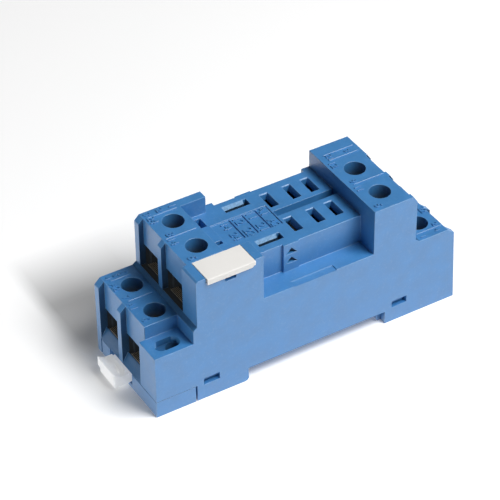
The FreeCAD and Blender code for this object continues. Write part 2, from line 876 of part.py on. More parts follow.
def make_clip():
    """Sliding rail clip: handle outside, legs with stop bumps inside, nose under the rail."""
    y0 = deep(clip_line - clip_width / 2)
    y1 = deep(clip_line + clip_width / 2)
    z0, z1 = high(clip_bottom), high(clip_bottom + clip_plate)
    nose_x = left(left_foot) + clip_nose
    plate_end = left(left_foot) - clip_gap
    nose_z = high(clip_nose_top)
    profile = [(left(0), z0), (nose_x - clip_nose / 2, z0), (nose_x, (z0 + nose_z) / 2),
               (nose_x, nose_z), (plate_end, nose_z), (plate_end, z1), (left(0), z1)]
    body = prism_y(profile, y0, y1)
    low, top, lip = high(clip_handle_bottom), high(clip_handle_top), high(clip_lip_top)
    reach = left(-clip_reach)
    handle = [(left(-clip_gap), low), (left(-clip_gap), top), (reach + clip_ramp, top),
              (reach + clip_tip, lip), (reach, lip - clip_tip_drop), (reach, low + clip_toe),
              (reach + clip_toe, low)]
    stem = block(left(-over), left(0), y0, y1, z0, z1)
    body = body.fuse([prism_y(handle, y0, y1), stem])
    middle = deep(clip_line)
    ridge_half = clip_ridge_length / 2
    crest = top + clip_ridge_height
    ridge_out = left(-clip_gap) - clip_ridge_width
    ridge_side = (clip_ridge_width - clip_ridge_top) / 2
    ridge = [(ridge_out, top - seat_gap), (ridge_out + ridge_side, crest),
             (left(-clip_gap) - ridge_side, crest), (left(-clip_gap), top - seat_gap)]
    body = body.fuse(prism_y(ridge, middle - ridge_half, middle + ridge_half))
    slit0 = left(leg_start + leg_length)
    cuts = []
    bumps = []
    for s in (-1, 1):
        edge = middle + s * clip_width / 2
        slit_out = edge - s * leg_width
        slit_in = slit_out - s * leg_slit
        cuts.append(block(left(leg_start), slit0, slit_out, slit_in, z0 - over, z1 + over))
        cuts.append(block(left(leg_start - leg_slit), left(leg_start), edge + s * over, slit_in,
                          z0 - over, z1 + over))
        bump = [(left(leg_start), edge),
                (left(leg_start + leg_bump_length - 2 * leg_bump_flat), edge + s * leg_bump),
                (left(leg_start + leg_bump_length - leg_bump_flat), edge + s * leg_bump),
                (left(leg_start + leg_bump_length), edge)]
        lip_out = [(x, y if abs(y - edge) > 0 else y - s * seat_gap) for x, y in bump]
        bumps.append(prism([(x, y, z0) for x, y in lip_out], (0, 0, z1 - z0)))
    slot_x = left(-clip_slot_line)
    slot_far = middle - ridge_half + clip_slot_length
    cuts.append(block(slot_x - clip_slot_width, slot_x, middle - ridge_half, slot_far,
                      top - over, top + over))
    corner = [(y1 - clip_corner_width, high(-over)),
              (y1 - clip_corner_width, high(clip_corner_low)), (y1, high(clip_corner_high)),
              (y1 + over, high(clip_corner_high)), (y1 + over, high(-over))]
    cuts.append(prism_x(corner, reach - over, reach + clip_corner_width))
    body = body.cut(cuts).fuse(bumps)
    body = rounded(body, edge_radius, lambda e: handle_corner(e, y0, y1))
    return body


def handle_corner(edge, y0, y1):
    """True for the handle's outer upright corners."""
    b = edge.BoundBox
    tiny = over / 100
    upright = b.ZLength > clip_plate / 2 and b.XLength < tiny and b.YLength < tiny
    at_end = min(abs(b.YMin - y0), abs(b.YMin - y1)) < tiny
    return upright and at_end and abs(b.XMin - left(-clip_reach)) < tiny


def make_tag():
    """Marker tag: a flat plate with a lip that hangs over the near face."""
    x0, x1 = left(tag_start), left(tag_start + tag_length)
    top = high(high_height)
    under = top - tag_thickness + seat_gap / 2
    lip_low = top - tag_lip
    plate = block(x0, x1, deep(-tag_overhang), deep(left_post_width - seat_gap), under, top)
    lip = prism([(x0, deep(-tag_overhang), lip_low), (x1 - tag_corner, deep(-tag_overhang), lip_low),
                 (x1, deep(-tag_overhang), lip_low + tag_corner), (x1, deep(-tag_overhang), top),
                 (x0, deep(-tag_overhang), top)], (0, tag_overhang - seat_gap / 2, 0))
    body = plate.fuse(lip).removeSplitter()
    return rounded(body, edge_radius, lambda e: tag_front_edge(e, top))


def tag_front_edge(edge, top):
    """True for the long upper edge at the front of the tag."""
    b = edge.BoundBox
    return b.XLength > tag_length / 2 and b.ZMin > top - over / 100 and b.YMax < deep(0)


def main():
    os.makedirs("parts", exist_ok=True)
    terminals = make_terminals()
    strips = make_strips(terminals)
    save("housing", make_housing(terminals, strips))
    save("base_cover", make_cover())
    save("rail_clip", make_clip())
    save("marker_tag", make_tag())
    for name, pieces in strips.items():
        save(name, pieces[0].fuse(pieces[1:]))
    for t in terminals.values():
        save("clamp_screw_" + t.name, clamp_screw(t))
        save("clamp_cage_" + t.name, clamp_cage(t))


main()
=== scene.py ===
"""Looks for the relay socket: blue shell, nylon rail clip, marker tag, contact strips and clamps.

Metres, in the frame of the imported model. The origin is the centre of the rail seat, X runs from the
clip end to the other end, Y from the side with the marker tag to the far side, Z up.
"""

import json
import math

import bmesh
import bpy
import numpy as np
from mathutils import Matrix, Vector

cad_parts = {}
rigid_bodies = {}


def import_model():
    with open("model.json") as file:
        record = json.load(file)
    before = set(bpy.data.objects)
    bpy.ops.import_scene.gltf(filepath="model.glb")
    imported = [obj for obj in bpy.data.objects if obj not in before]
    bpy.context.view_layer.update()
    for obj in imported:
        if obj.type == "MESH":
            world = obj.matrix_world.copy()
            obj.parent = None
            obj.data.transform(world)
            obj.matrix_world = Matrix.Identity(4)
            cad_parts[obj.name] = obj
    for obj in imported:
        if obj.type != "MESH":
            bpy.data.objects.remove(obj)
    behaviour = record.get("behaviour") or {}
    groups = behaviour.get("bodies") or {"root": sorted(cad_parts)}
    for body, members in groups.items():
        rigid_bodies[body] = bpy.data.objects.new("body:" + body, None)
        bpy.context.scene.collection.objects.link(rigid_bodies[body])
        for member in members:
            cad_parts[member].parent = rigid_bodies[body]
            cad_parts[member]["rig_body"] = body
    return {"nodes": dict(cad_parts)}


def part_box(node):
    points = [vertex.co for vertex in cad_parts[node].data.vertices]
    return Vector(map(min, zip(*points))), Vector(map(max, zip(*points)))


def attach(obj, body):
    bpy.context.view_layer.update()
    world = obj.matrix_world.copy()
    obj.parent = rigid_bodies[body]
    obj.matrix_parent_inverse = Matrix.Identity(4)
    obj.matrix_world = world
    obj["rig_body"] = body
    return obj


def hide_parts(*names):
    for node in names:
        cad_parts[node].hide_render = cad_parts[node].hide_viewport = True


bl_info = {
    "name": "Relay socket dressing",
    "version": (1, 0, 0),
    "blender": (4, 5, 0),
    "location": "3D View > Sidebar > Socket",
    "description": "Dresses the packed relay socket with its moulded, nylon and metal finishes",
    "category": "Object",
}

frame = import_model()

MM = 0.001
SHELL_LOW, SHELL_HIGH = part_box("housing")
FEET = SHELL_LOW.z
DECK_LOW = FEET + 19.9 * MM
DECK_HIGH = SHELL_HIGH.z
FIELD_FLOOR = FEET + 28.3 * MM
TERMINALS = sorted(n[len("clamp_screw_"):] for n in frame["nodes"] if n.startswith("clamp_screw_"))
MOUTHS = {
    "left_low": (SHELL_LOW.x + 1.45 * MM, FEET + 7.0 * MM),
    "left_high": (SHELL_LOW.x + 11.65 * MM, FEET + 20.65 * MM),
    "right_low": (SHELL_HIGH.x - 2.35 * MM, FEET + 7.0 * MM),
    "right_high": (SHELL_HIGH.x - 12.4 * MM, FEET + 20.65 * MM),
}
LABEL_LINES = (
    (-28.35, -20.85, 10.70, "high"), (-28.60, -20.85, 2.37, "high"),
    (-38.15, -33.05, 10.45, "low"), (-38.15, -31.90, 2.60, "low"),
    (15.55, 23.65, 9.65, "high"), (15.75, 23.60, 7.47, "high"), (15.55, 23.65, -2.63, "high"),
    (26.85, 33.75, -11.00, "low"),
)
LABELS = (
    ("24", -27.70, 9.60, 1.8, "high"), ("14", -27.55, 1.05, 1.8, "high"),
    ("8", -26.90, 3.45, 1.9, "high"), ("5", -26.95, -5.96, 1.9, "high"),
    ("3", -27.75, 11.95, 1.6, "high"), ("2", -24.70, 11.88, 1.6, "high"),
    ("1", -21.60, 11.84, 1.6, "high"),
    ("A2", -38.10, 8.30, 1.7, "low"), ("A1", -38.10, 0.75, 1.7, "low"),
    ("7", -37.80, 3.95, 1.7, "low"), ("6", -37.80, -4.50, 1.7, "low"),
    ("4", -38.10, 11.70, 1.4, "low"), ("5", -36.10, 11.72, 1.4, "low"), ("6", -34.20, 11.70, 1.4, "low"),
    ("21", 16.65, 8.45, 1.6, "high"), ("12", 15.75, 5.75, 1.7, "high"), ("3", 21.10, 8.55, 1.3, "high"),
    ("9", 16.20, -1.50, 1.7, "high"), ("11", 15.90, -4.35, 1.7, "high"),
    ("5", 16.05, -11.55, 1.7, "high"),
    ("22", 33.10, -4.30, 1.6, "low"), ("4", 31.80, -11.95, 1.3, "low"), ("2", 32.55, -9.95, 1.3, "low"),
    ("1", 27.90, -12.30, 1.3, "low"),
    ("A1  A2", -2.95, 2.50, 2.0, "field"), ("11  21", -5.85, 2.50, 2.2, "field"),
    ("12  22", -9.20, 2.50, 2.2, "field"), ("14  24", -12.55, 2.50, 1.9, "field"),
)
ARROW_X, ARROW_Y, ARROW_TOPS = -3.65 * MM, -8.1 * MM, (FEET + 27.4 * MM, FEET + 24.95 * MM)
PANEL_WELLS = ((-34.55 * MM, -9.95 * MM), (29.6 * MM, 9.55 * MM))
COIL_SLOTS = (-4.44 * MM, 9.44 * MM)
CONTACT_ROWS = (-2.42 * MM, 7.42 * MM)
CONTACT_STATIONS = (0.25 * MM, 6.0 * MM, 10.7 * MM)
STRIPS = sorted(n for n in frame["nodes"] if n.endswith(("strip_near", "strip_far")))

SKIN = 0.01 * MM
# Reaches and levels of the painted shade in the wire lanes, access holes, panel wells and under the
# relay slots.
LANE_RUN = 4.5 * MM
LANE_HALF_SPAN = 12.4 * MM
LANE_SIDE_SHADE, SILL_SHADE, POCKET_SHADE = 0.65, 0.4, 0.85
HOLE_REACH, HOLE_DEPTH = 2.7 * MM, 4.2 * MM
WELL_SHELF, WELL_DEPTH = FEET + 16.4 * MM, 1.6 * MM
SLOT_TOP = FEET + 28.6 * MM
SLOT_ROOM = ((-13.5 * MM, 14.0 * MM), (-7.4 * MM, 11.4 * MM), (FEET + 5.5 * MM, FEET + 26.3 * MM))

RAMP_ENDS, RAMP_WALL = (-10.0 * MM, -4.7 * MM), 1.08 * MM
RAMP_RUN, RAMP_DROP, RAMP_PITCH = 0.48 * MM, 0.85 * MM, 0.42 * MM
TIP_OUTLINE = ((0.0, 0.0), (0.30, -0.12), (0.34, -0.75), (0.18, -0.75), (0.12, -0.25), (0.0, -0.16))
TIP_WIDTH = 0.42 * MM
TIP_STEP = (-0.76 * MM, 2.30 * MM, -0.95 * MM)

HIGH_TONGUE = 2.2 * MM
CREST_REACH, CREST_SLOPES = 2.15 * MM, (0.565, 0.75)
HEAD_HEIGHT, SHANK_DIAMETER = 1.1 * MM, 3.0 * MM

SHADE_ALONG = ((-46.5 * MM, -42.5 * MM), (-22.0 * MM, 0.0))
SHADE_ACROSS = ((8.0 * MM, 30.0 * MM), (32.0 * MM, 52.0 * MM))
CARD_SIZE, CARD_DISTANCE, CARD_LEVEL = (0.10, 0.02), 0.14, 12.0 * MM
CARD_AZIMUTH, CARD_ELEVATION = math.radians(-92.0), math.radians(4.0)


def length_prop(name, description, default):
    """A size in metres for the sidebar."""
    return bpy.props.FloatProperty(name=name, description=description, default=default,
                                   precision=5, unit="LENGTH")


def colour_prop(name, description, default):
    """A linear colour for the sidebar."""
    return bpy.props.FloatVectorProperty(name=name, description=description, default=default,
                                         subtype="COLOR", min=0.0, max=1.0)


def number_prop(name, description, default, low=0.0, high=1000.0):
    """A plain number for the sidebar."""
    return bpy.props.FloatProperty(name=name, description=description, default=default,
                                   min=low, max=high)


def angle_prop(name, description, degrees):
    """An angle, given in degrees and kept in radians."""
    return bpy.props.FloatProperty(name=name, description=description,
                                   default=math.radians(degrees), subtype="ANGLE")


class StageSettings(bpy.types.PropertyGroup):
    """Floor, light and camera."""

    camera_azimuth: angle_prop("Azimuth", "Side the camera stands on, from the near side", -30.856)
    camera_elevation: angle_prop("Elevation", "Height of the camera above the horizon", 38.895)
    camera_roll: angle_prop("Roll", "Turn of the camera about its own axis", -0.69)
    camera_distance: length_prop("Distance", "From the look point to the camera", 0.51289)
    camera_lens: number_prop("Lens", "Focal length in millimetres on a 36 mm sensor", 167.62)
    camera_right: length_prop("Step right", "Camera's step to its right", -0.0058435)
    camera_up: length_prop("Step up", "Camera's step upwards", 0.0034772)
    look_point: bpy.props.FloatVectorProperty(name="Look point", subtype="XYZ", precision=5,
                                              description="Point the camera turns about",
                                              default=(-0.00165, 0.0013, 0.0116))
    floor_colour: colour_prop("Floor", "Colour of the floor as the camera sees it", (0.95, 0.95, 0.95))
    floor_bounce: colour_prop("Floor bounce", "Colour that the floor throws back", (0.85, 0.85, 0.85))
    floor_glow: number_prop("Floor glow", "Light that the floor shows to the camera by itself", 0.14)
    floor_shine: number_prop("Floor in gloss", "Light that the floor adds in reflections", 0.80)
    world_light: number_prop("Ambient", "Strength of the room's own light on the object", 0.02)
    world_low: number_prop("Horizon", "What reflections see around the socket", 0.32)
    world_high: number_prop("Ceiling", "What reflections see overhead", 0.20)
    key_power: number_prop("Key power", "Watts of the large front light", 9.2)
    key_size: length_prop("Key size", "Side of the large front light", 0.45)
    key_distance: length_prop("Key distance", "From the socket to the large front light", 0.85)
    shade: number_prop("Floor shade", "Depth of the soft shade painted behind the socket", 0.55)
    card_power: number_prop("Card power", "Watts of the card at the clip end", 0.055)
    key_azimuth: angle_prop("Key azimuth", "Side the large light stands on", 37.0)
    key_elevation: angle_prop("Key elevation", "Height of the large light", 57.0)


class ShellSettings(bpy.types.PropertyGroup):
    """Blue moulded plastic."""

    edge_round: length_prop("Edge radius", "Rounding of the moulded edges", 0.00010)
    edge_steps: bpy.props.IntProperty(name="Edge steps", description="Faces across a rounded edge",
                                      default=2, min=1, max=4)
    blue: colour_prop("Blue", "Colour of the moulding", (0.038, 0.198, 0.470))
    # Pale blue: for the fibre streaks, and for the rounded edges, where it stands for wear and a painted
    # highlight.
    blue_pale: colour_prop("Pale blue", "Colour of rubbed edges and fibre streaks", (0.20, 0.36, 0.56))
    # Haze: strength of a faint painted glow where the painted shade is deepest.
    painted_stray_light: number_prop("Haze", "Stray light in the dark rooms", 0.008, 0.0, 1.0)
    # The lead-ins' pale blue paints the light that falls on them.
    ramp_pale: colour_prop("Lead-in painted light", "Colour of the coil slots' lead-ins", (0.24, 0.46, 0.74))
    roughness: number_prop("Roughness", "Roughness of the moulded skin", 0.42, 0.0, 1.0)
    specular: number_prop("Specular level", "Strength of its gloss", 1.0, 0.0, 1.0)
    grain_size: length_prop("Grain", "Size of the skin's grain", 0.00018)
    grain_height: length_prop("Grain height", "Depth of the skin's grain", 0.000006)
    mark_width: length_prop("Mark width", "Width of the raised label lines", 0.00030)
    mark_height: length_prop("Mark height", "How far lines and numbers stand up", 0.00024)


class TrimSettings(bpy.types.PropertyGroup):
    """Nylon clip and marker tag."""

    nylon: colour_prop("Nylon", "Colour of the rail clip", (0.88, 0.89, 0.90))
    # Nylon glow: a painted glow that lifts the clip where it lies in shade.
    nylon_glow: number_prop("Nylon glow", "Light from inside the milky nylon", 0.42, 0.0, 1.0)
    ivory: colour_prop("Ivory", "Colour of the marker tag", (0.80, 0.785, 0.76))
    clip_edge: length_prop("Clip edge", "Rounding of the clip's edges", 0.00022)
    tag_edge: length_prop("Tag edge", "Rounding of the tag's edges", 0.00006)


class MetalSettings(bpy.types.PropertyGroup):
    """Strips, cages and screws."""

    brass: colour_prop("Brass", "Colour of the contact strips", (0.80, 0.58, 0.30))
    cage_zinc: colour_prop("Cage", "Colour of the dark plated cages", (0.11, 0.10, 0.085))
    # The crests' pale tone is a painted highlight.
    grip_tone: colour_prop("Grip", "Colour of the teeth that hold the wire", (0.42, 0.37, 0.29))
    screw_zinc: colour_prop("Screw", "Colour of the plated screws", (0.66, 0.66, 0.65))
    metal_edge: length_prop("Metal edge", "Rounding of stamped edges", 0.00006)
    thread_pitch: length_prop("Pitch", "Pitch of the clamp screws", 0.0005)
    thread_depth: length_prop("Thread depth", "Depth of their thread", 0.00027)
    # Grip glint: strength of the glow painted on the crests as their highlight.
    grip_glint: number_prop("Grip glint", "Light that the teeth's crests catch", 0.16, 0.0, 1.0)
    grip_pitch: length_prop("Grip pitch", "Pitch of the wire grip in the mouths", 0.00034)
    grip_depth: length_prop("Grip depth", "Depth of the wire grip", 0.00013)
    grip_fall: length_prop("Grip fall", "How much lower each of the first teeth stands", 0.00003)


def clean_copy(node, name, dissolve=0.6):
    """A merged copy of a node's mesh: doubles joined, coplanar triangles dissolved into flat faces."""
    mesh = bpy.data.meshes.new(name)
    bm = bmesh.new()
    bm.from_mesh(frame["nodes"][node].data)
    bmesh.ops.remove_doubles(bm, verts=bm.verts, dist=2e-6)
    bmesh.ops.dissolve_degenerate(bm, edges=bm.edges, dist=2e-6)
    bmesh.ops.dissolve_limit(bm, angle_limit=math.radians(dissolve), verts=bm.verts, edges=bm.edges)
    bm.to_mesh(mesh)
    bm.free()
    return mesh


def thinness(face):
    """Rough width of a face: twice its area over its perimeter."""
    return 2 * face.calc_area() / max(face.calc_perimeter(), 1e-9)


def round_edges(mesh, radius, steps, sharp=30.0):
    """Rounds the edges that turn by more than sharp degrees, except beside faces too thin for it.

    The rounded band gets 1 in the face attribute edge_band, and every other face 0.
    """
    bm = bmesh.new()
    bm.from_mesh(mesh)
    band = bm.faces.layers.float.new("edge_band")
    limit = math.radians(sharp)
    chosen = []
    for edge in bm.edges:
        if not edge.is_manifold or edge.calc_face_angle(0.0) < limit:
            continue
        if min(thinness(f) for f in edge.link_faces) > 2.3 * radius:
            chosen.append(edge)
    made = bmesh.ops.bevel(bm, geom=chosen, offset=radius, offset_type="OFFSET", segments=steps,
                           profile=0.5, affect="EDGES", clamp_overlap=False, loop_slide=True)
    for face in made["faces"]:
        face[band] = 1.0
    bmesh.ops.recalc_face_normals(bm, faces=bm.faces)
    bm.to_mesh(mesh)
    bm.free()
    return mesh


def loft(name, rings):
    """Closed mesh from numpy rings of shape (m, n, 3): quads between rings, one face on each end."""
    m, n = rings.shape[:2]
    first = (np.arange(m - 1)[:, None] * n + np.arange(n)[None, :]).ravel()
    nexts = (np.arange(m - 1)[:, None] * n + (np.arange(n)[None, :] + 1) % n).ravel()
    quads = np.stack([first, nexts, nexts + n, first + n], axis=1)
    faces = quads.tolist() + [list(range(n))[::-1], list(range((m - 1) * n, m * n))]
    mesh = bpy.data.meshes.new(name)
    mesh.from_pydata(rings.reshape(-1, 3).tolist(), [], faces)
    return outward(mesh)


def outward(mesh):
    """Turns every face of a closed mesh outwards."""
    bm = bmesh.new()
    bm.from_mesh(mesh)
    bmesh.ops.recalc_face_normals(bm, faces=bm.faces)
    bm.to_mesh(mesh)
    bm.free()
    return mesh


def joined(name, meshes):
    """One mesh from several."""
    whole = bpy.data.meshes.new(name)
    bm = bmesh.new()
    for mesh in meshes:
        bm.from_mesh(mesh)
        bpy.data.meshes.remove(mesh)
    bm.to_mesh(whole)
    bm.free()
    return whole


def smooth_shading(mesh, sharp=40.0):
    """Smooth shading, broken where the surface turns by more than sharp degrees."""
    mesh.shade_smooth()
    mesh.set_sharp_from_angle(angle=math.radians(sharp))


def add_piece(name, mesh, material, body, replaced=()):
    """Links a mesh as a piece that rides on a body and stands for the named nodes."""
    piece = bpy.data.objects.new(name, mesh)
    bpy.context.scene.collection.objects.link(piece)
    mesh.materials.clear()
    mesh.materials.append(material)
    weighted = piece.modifiers.new("flat faces stay flat", "WEIGHTED_NORMAL")
    weighted.keep_sharp = True
    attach(piece, body)
    if replaced:
        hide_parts(*replaced)
    return piece


def body_of_node(node):
    """The body that carries a node."""
    return frame["nodes"][node]["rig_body"]


def new_group(name, inputs, outputs):
    """An empty shader node group with named sockets: (name, type, default)."""
    group = bpy.data.node_groups.new(name, "ShaderNodeTree")
    for socket_name, kind, default in inputs:
        item = group.interface.new_socket(name=socket_name, in_out="INPUT", socket_type=kind)
        item.default_value = default
    for socket_name, kind in outputs:
        group.interface.new_socket(name=socket_name, in_out="OUTPUT", socket_type=kind)
    return group, group.nodes.new("NodeGroupInput"), group.nodes.new("NodeGroupOutput")


def wire(tree, *pairs):
    """Links pairs of sockets."""
    for source, target in pairs:
        tree.links.new(source, target)


def math_node(tree, operation, first, second=None):
    """A Math node whose inputs are sockets or numbers."""
    node = tree.nodes.new("ShaderNodeMath")
    node.operation = operation
    for i, value in enumerate((first, second)):
        if value is None:
            continue
        if isinstance(value, (int, float)):
            node.inputs[i].default_value = value
        else:
            tree.links.new(value, node.inputs[i])
    return node.outputs[0]


def noise_node(tree, vector, scale, detail=2.0, roughness=0.5):
    """A Noise texture on a vector socket; scale is a socket or a number of cells per metre."""
    node = tree.nodes.new("ShaderNodeTexNoise")
    node.inputs["Detail"].default_value = detail
    node.inputs["Roughness"].default_value = roughness
    tree.links.new(vector, node.inputs["Vector"])
    if isinstance(scale, (int, float)):
        node.inputs["Scale"].default_value = scale
    else:
        tree.links.new(scale, node.inputs["Scale"])
    return node.outputs["Fac"]


def map_range(tree, value, from_low, from_high, to_low=0.0, to_high=1.0):
    """A clamped Map Range node on a socket."""
    node = tree.nodes.new("ShaderNodeMapRange")
    node.inputs["From Min"].default_value = from_low
    node.inputs["From Max"].default_value = from_high
    node.inputs["To Min"].default_value = to_low
    node.inputs["To Max"].default_value = to_high
    tree.links.new(value, node.inputs["Value"])
    return node.outputs["Result"]


def soft_band(tree, value, rise, fall):
    """1 between two soft borders: it rises over the first pair of limits and falls over the second."""
    return math_node(tree, "MINIMUM", map_range(tree, value, *rise),
                     map_range(tree, value, *fall, 1.0, 0.0))


def mix_colour(tree, factor, first, second):
    """A colour mix; the two colours are sockets or linear triples."""
    node = tree.nodes.new("ShaderNodeMix")
    node.data_type = "RGBA"
    if isinstance(factor, (int, float)):
        node.inputs["Factor"].default_value = factor
    else:
        tree.links.new(factor, node.inputs["Factor"])
    for name, value in (("A", first), ("B", second)):
        target = next(s for s in node.inputs if s.name == name and s.type == "RGBA")
        if isinstance(value, bpy.types.NodeSocket):
            tree.links.new(value, target)
        else:
            target.default_value = (*value, 1.0)
    return next(s for s in node.outputs if s.type == "RGBA")


def skin_grain_group():
    """Fine spark-eroded grain plus a slow wave: Height is their sum, Patch the slow part alone."""
    group, start, end = new_group(
        "skin_grain",
        [("Grain per metre", "NodeSocketFloat", 5000.0),
         ("Patches per metre", "NodeSocketFloat", 220.0)],
        [("Height", "NodeSocketFloat"), ("Patch", "NodeSocketFloat")])
    place = group.nodes.new("ShaderNodeTexCoord").outputs["Object"]
    fine = noise_node(group, place, start.outputs["Grain per metre"], 2.0, 0.6)
    slow = noise_node(group, place, start.outputs["Patches per metre"], 3.0, 0.55)
    height = math_node(group, "ADD", fine, math_node(group, "MULTIPLY", slow, 0.6))
    wire(group, (height, end.inputs["Height"]), (slow, end.inputs["Patch"]))
    return group


def rubbed_edge_group():
    """Mask of the rounded edge bands, broken up by noise: pale edges that stand for wear and for a
    painted highlight.
    """
    group, start, end = new_group(
        "rubbed_edge",
        [("Amount", "NodeSocketFloat", 0.5), ("Breaks per metre", "NodeSocketFloat", 900.0)],
        [("Mask", "NodeSocketFloat")])
    band = group.nodes.new("ShaderNodeAttribute")
    band.attribute_name = "edge_band"
    place = group.nodes.new("ShaderNodeTexCoord").outputs["Object"]
    breaks = noise_node(group, place, start.outputs["Breaks per metre"], 3.0, 0.7)
    share = map_range(group, breaks, 0.38, 0.68, 0.25, 1.0)
    mask = math_node(group, "MULTIPLY", math_node(group, "MULTIPLY", band.outputs["Fac"], share),
                     start.outputs["Amount"])
    wire(group, (mask, end.inputs["Mask"]))
    return group


def fibre_streak_group():
    """Mask of short pale flecks, longer along the socket, as glass fibre leaves in a moulded skin."""
    group, start, end = new_group(
        "fibre_streaks",
        [("Flecks per metre", "NodeSocketFloat", 1500.0)],
        [("Mask", "NodeSocketFloat")])
    place = group.nodes.new("ShaderNodeTexCoord").outputs["Object"]
    stretch = group.nodes.new("ShaderNodeMapping")
    stretch.inputs["Scale"].default_value = (0.45, 1.0, 0.8)
    stretch.inputs["Rotation"].default_value = (0.2, 0.35, 0.15)
    wire(group, (place, stretch.inputs["Vector"]))
    fleck = noise_node(group, stretch.outputs["Vector"], start.outputs["Flecks per metre"], 4.0, 0.65)
    where = noise_node(group, place, 160.0, 2.0, 0.5)
    mask = math_node(group, "MULTIPLY", map_range(group, fleck, 0.58, 0.78),
                     map_range(group, where, 0.40, 0.62))
    wire(group, (mask, end.inputs["Mask"]))
    return group


def mouth_shade_group():
    """Mask of painted shade that grows inwards from each wire face, between its sill and the top of its
    mouth.
    """
    group, start, end = new_group("mouth_shade", [("Reach", "NodeSocketFloat", 0.4 * MM)],
                                  [("Mask", "NodeSocketFloat")])
    place = group.nodes.new("ShaderNodeTexCoord").outputs["Object"]
    split = group.nodes.new("ShaderNodeSeparateXYZ")
    wire(group, (place, split.inputs["Vector"]))
    x, y, z = (split.outputs[axis] for axis in "XYZ")
    span = map_range(group, math_node(group, "ABSOLUTE", y), LANE_HALF_SPAN, 12.5 * MM, 1.0, 0.0)
    total = None
    for name, (face, sill) in MOUTHS.items():
        inward = 1.0 if name.startswith("left") else -1.0
        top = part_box("clamp_cage_" + name + "_near")[1].z + (0.6 * MM if "high" in name else 0.0)
        along = math_node(group, "MULTIPLY", math_node(group, "SUBTRACT", x, face), inward)
        deep = math_node(group, "DIVIDE", along, start.outputs["Reach"])
        near = map_range(group, along, 4.0 * MM, 4.1 * MM, 1.0, 0.0)
        tall = soft_band(group, z, (sill - 0.05 * MM, sill), (top, top + 0.05 * MM))
        mask = math_node(group, "MINIMUM", math_node(group, "MINIMUM", deep, near), tall)
        mask = math_node(group, "MAXIMUM", mask, 0.0)
        total = mask if total is None else math_node(group, "MAXIMUM", total, mask)
    whole = math_node(group, "MINIMUM", math_node(group, "MULTIPLY", total, span), 1.0)
    wire(group, (whole, end.inputs["Mask"]))
    return group


def group_node(tree, name, build, **values):
    """Places a shared node group in a material with its own values."""
    node = tree.nodes.new("ShaderNodeGroup")
    node.node_tree = bpy.data.node_groups.get(name) or build()
    for key, value in values.items():
        node.inputs[key.replace("_", " ")].default_value = value
    return node


def new_material(name):
    """A material with its Principled BSDF, ready for its maps."""
    material = bpy.data.materials.new(name)
    material.use_nodes = True
    tree = material.node_tree
    return material, tree, tree.nodes["Principled BSDF"]


def bump(tree, shader, height, distance, strength=1.0):
    """Bump from a height socket into the shader's normal."""
    node = tree.nodes.new("ShaderNodeBump")
    node.inputs["Distance"].default_value = distance
    node.inputs["Strength"].default_value = strength
    wire(tree, (height, node.inputs["Height"]), (node.outputs["Normal"], shader.inputs["Normal"]))


def shell_material():
    """Blue moulded plastic: slow tone patches, fine grain, fibre flecks, pale edges for wear and a
    painted highlight, and painted shade with a faint painted glow in the hollows.
    """
    found = bpy.data.materials.get("blue_moulding")
    if found:
        return found
    look = bpy.context.scene.socket_shell
    material, tree, shader = new_material("blue_moulding")
    grain = group_node(tree, "skin_grain", skin_grain_group, Grain_per_metre=1 / look.grain_size,
                       Patches_per_metre=240.0)
    streaks = group_node(tree, "fibre_streaks", fibre_streak_group, Flecks_per_metre=1500.0)
    edges = group_node(tree, "rubbed_edge", rubbed_edge_group, Amount=0.45, Breaks_per_metre=1400.0)
    blue = tuple(look.blue)
    deep = tuple(0.94 * c for c in blue)
    pale = tuple(look.blue_pale)
    tone = mix_colour(tree, map_range(tree, grain.outputs["Patch"], 0.35, 0.65), deep,
                      tuple(1.05 * c for c in blue))
    mottle = group_node(tree, "skin_grain", skin_grain_group, Grain_per_metre=1 / look.grain_size,
                        Patches_per_metre=1500.0)
    tone = mix_colour(tree, map_range(tree, mottle.outputs["Patch"], 0.55, 0.75, 0.0, 0.16), tone, pale)
    flecked = mix_colour(tree, math_node(tree, "MULTIPLY", streaks.outputs["Mask"], 0.26), tone, pale)
    # Pale rounded edges: wear and a painted highlight.
    rubbed = mix_colour(tree, edges.outputs["Mask"], flecked, pale)
    # Painted shade: the attribute and the mouth mask darken the plastic towards near black and make it
    # rougher and less glossy.
    room = tree.nodes.new("ShaderNodeAttribute")
    room.attribute_name = "painted_inner_shade"
    mouths = group_node(tree, "mouth_shade", mouth_shade_group)
    dark = math_node(tree, "MAXIMUM", room.outputs["Fac"], mouths.outputs["Mask"])
    shade_painted = mix_colour(tree, dark, rubbed, (0.010, 0.016, 0.026))
    rough = math_node(tree, "MAXIMUM", dark,
                      map_range(tree, grain.outputs["Patch"], 0.3, 0.7, look.roughness - 0.04,
                                look.roughness + 0.05))
    wire(tree, (shade_painted, shader.inputs["Base Color"]), (rough, shader.inputs["Roughness"]))
    # A faint painted glow where the painted shade is deepest.
    painted_stray_light = map_range(tree, dark, 0.5, 1.0, 0.0, look.painted_stray_light)
    shader.inputs["Emission Color"].default_value = (0.9, 1.0, 1.05, 1.0)
    wire(tree, (painted_stray_light, shader.inputs["Emission Strength"]))
    gloss = map_range(tree, dark, 0.0, 0.5, look.specular, 0.15)
    wire(tree, (gloss, shader.inputs["Specular IOR Level"]))
    bump(tree, shader, grain.outputs["Height"], look.grain_height)
    return material


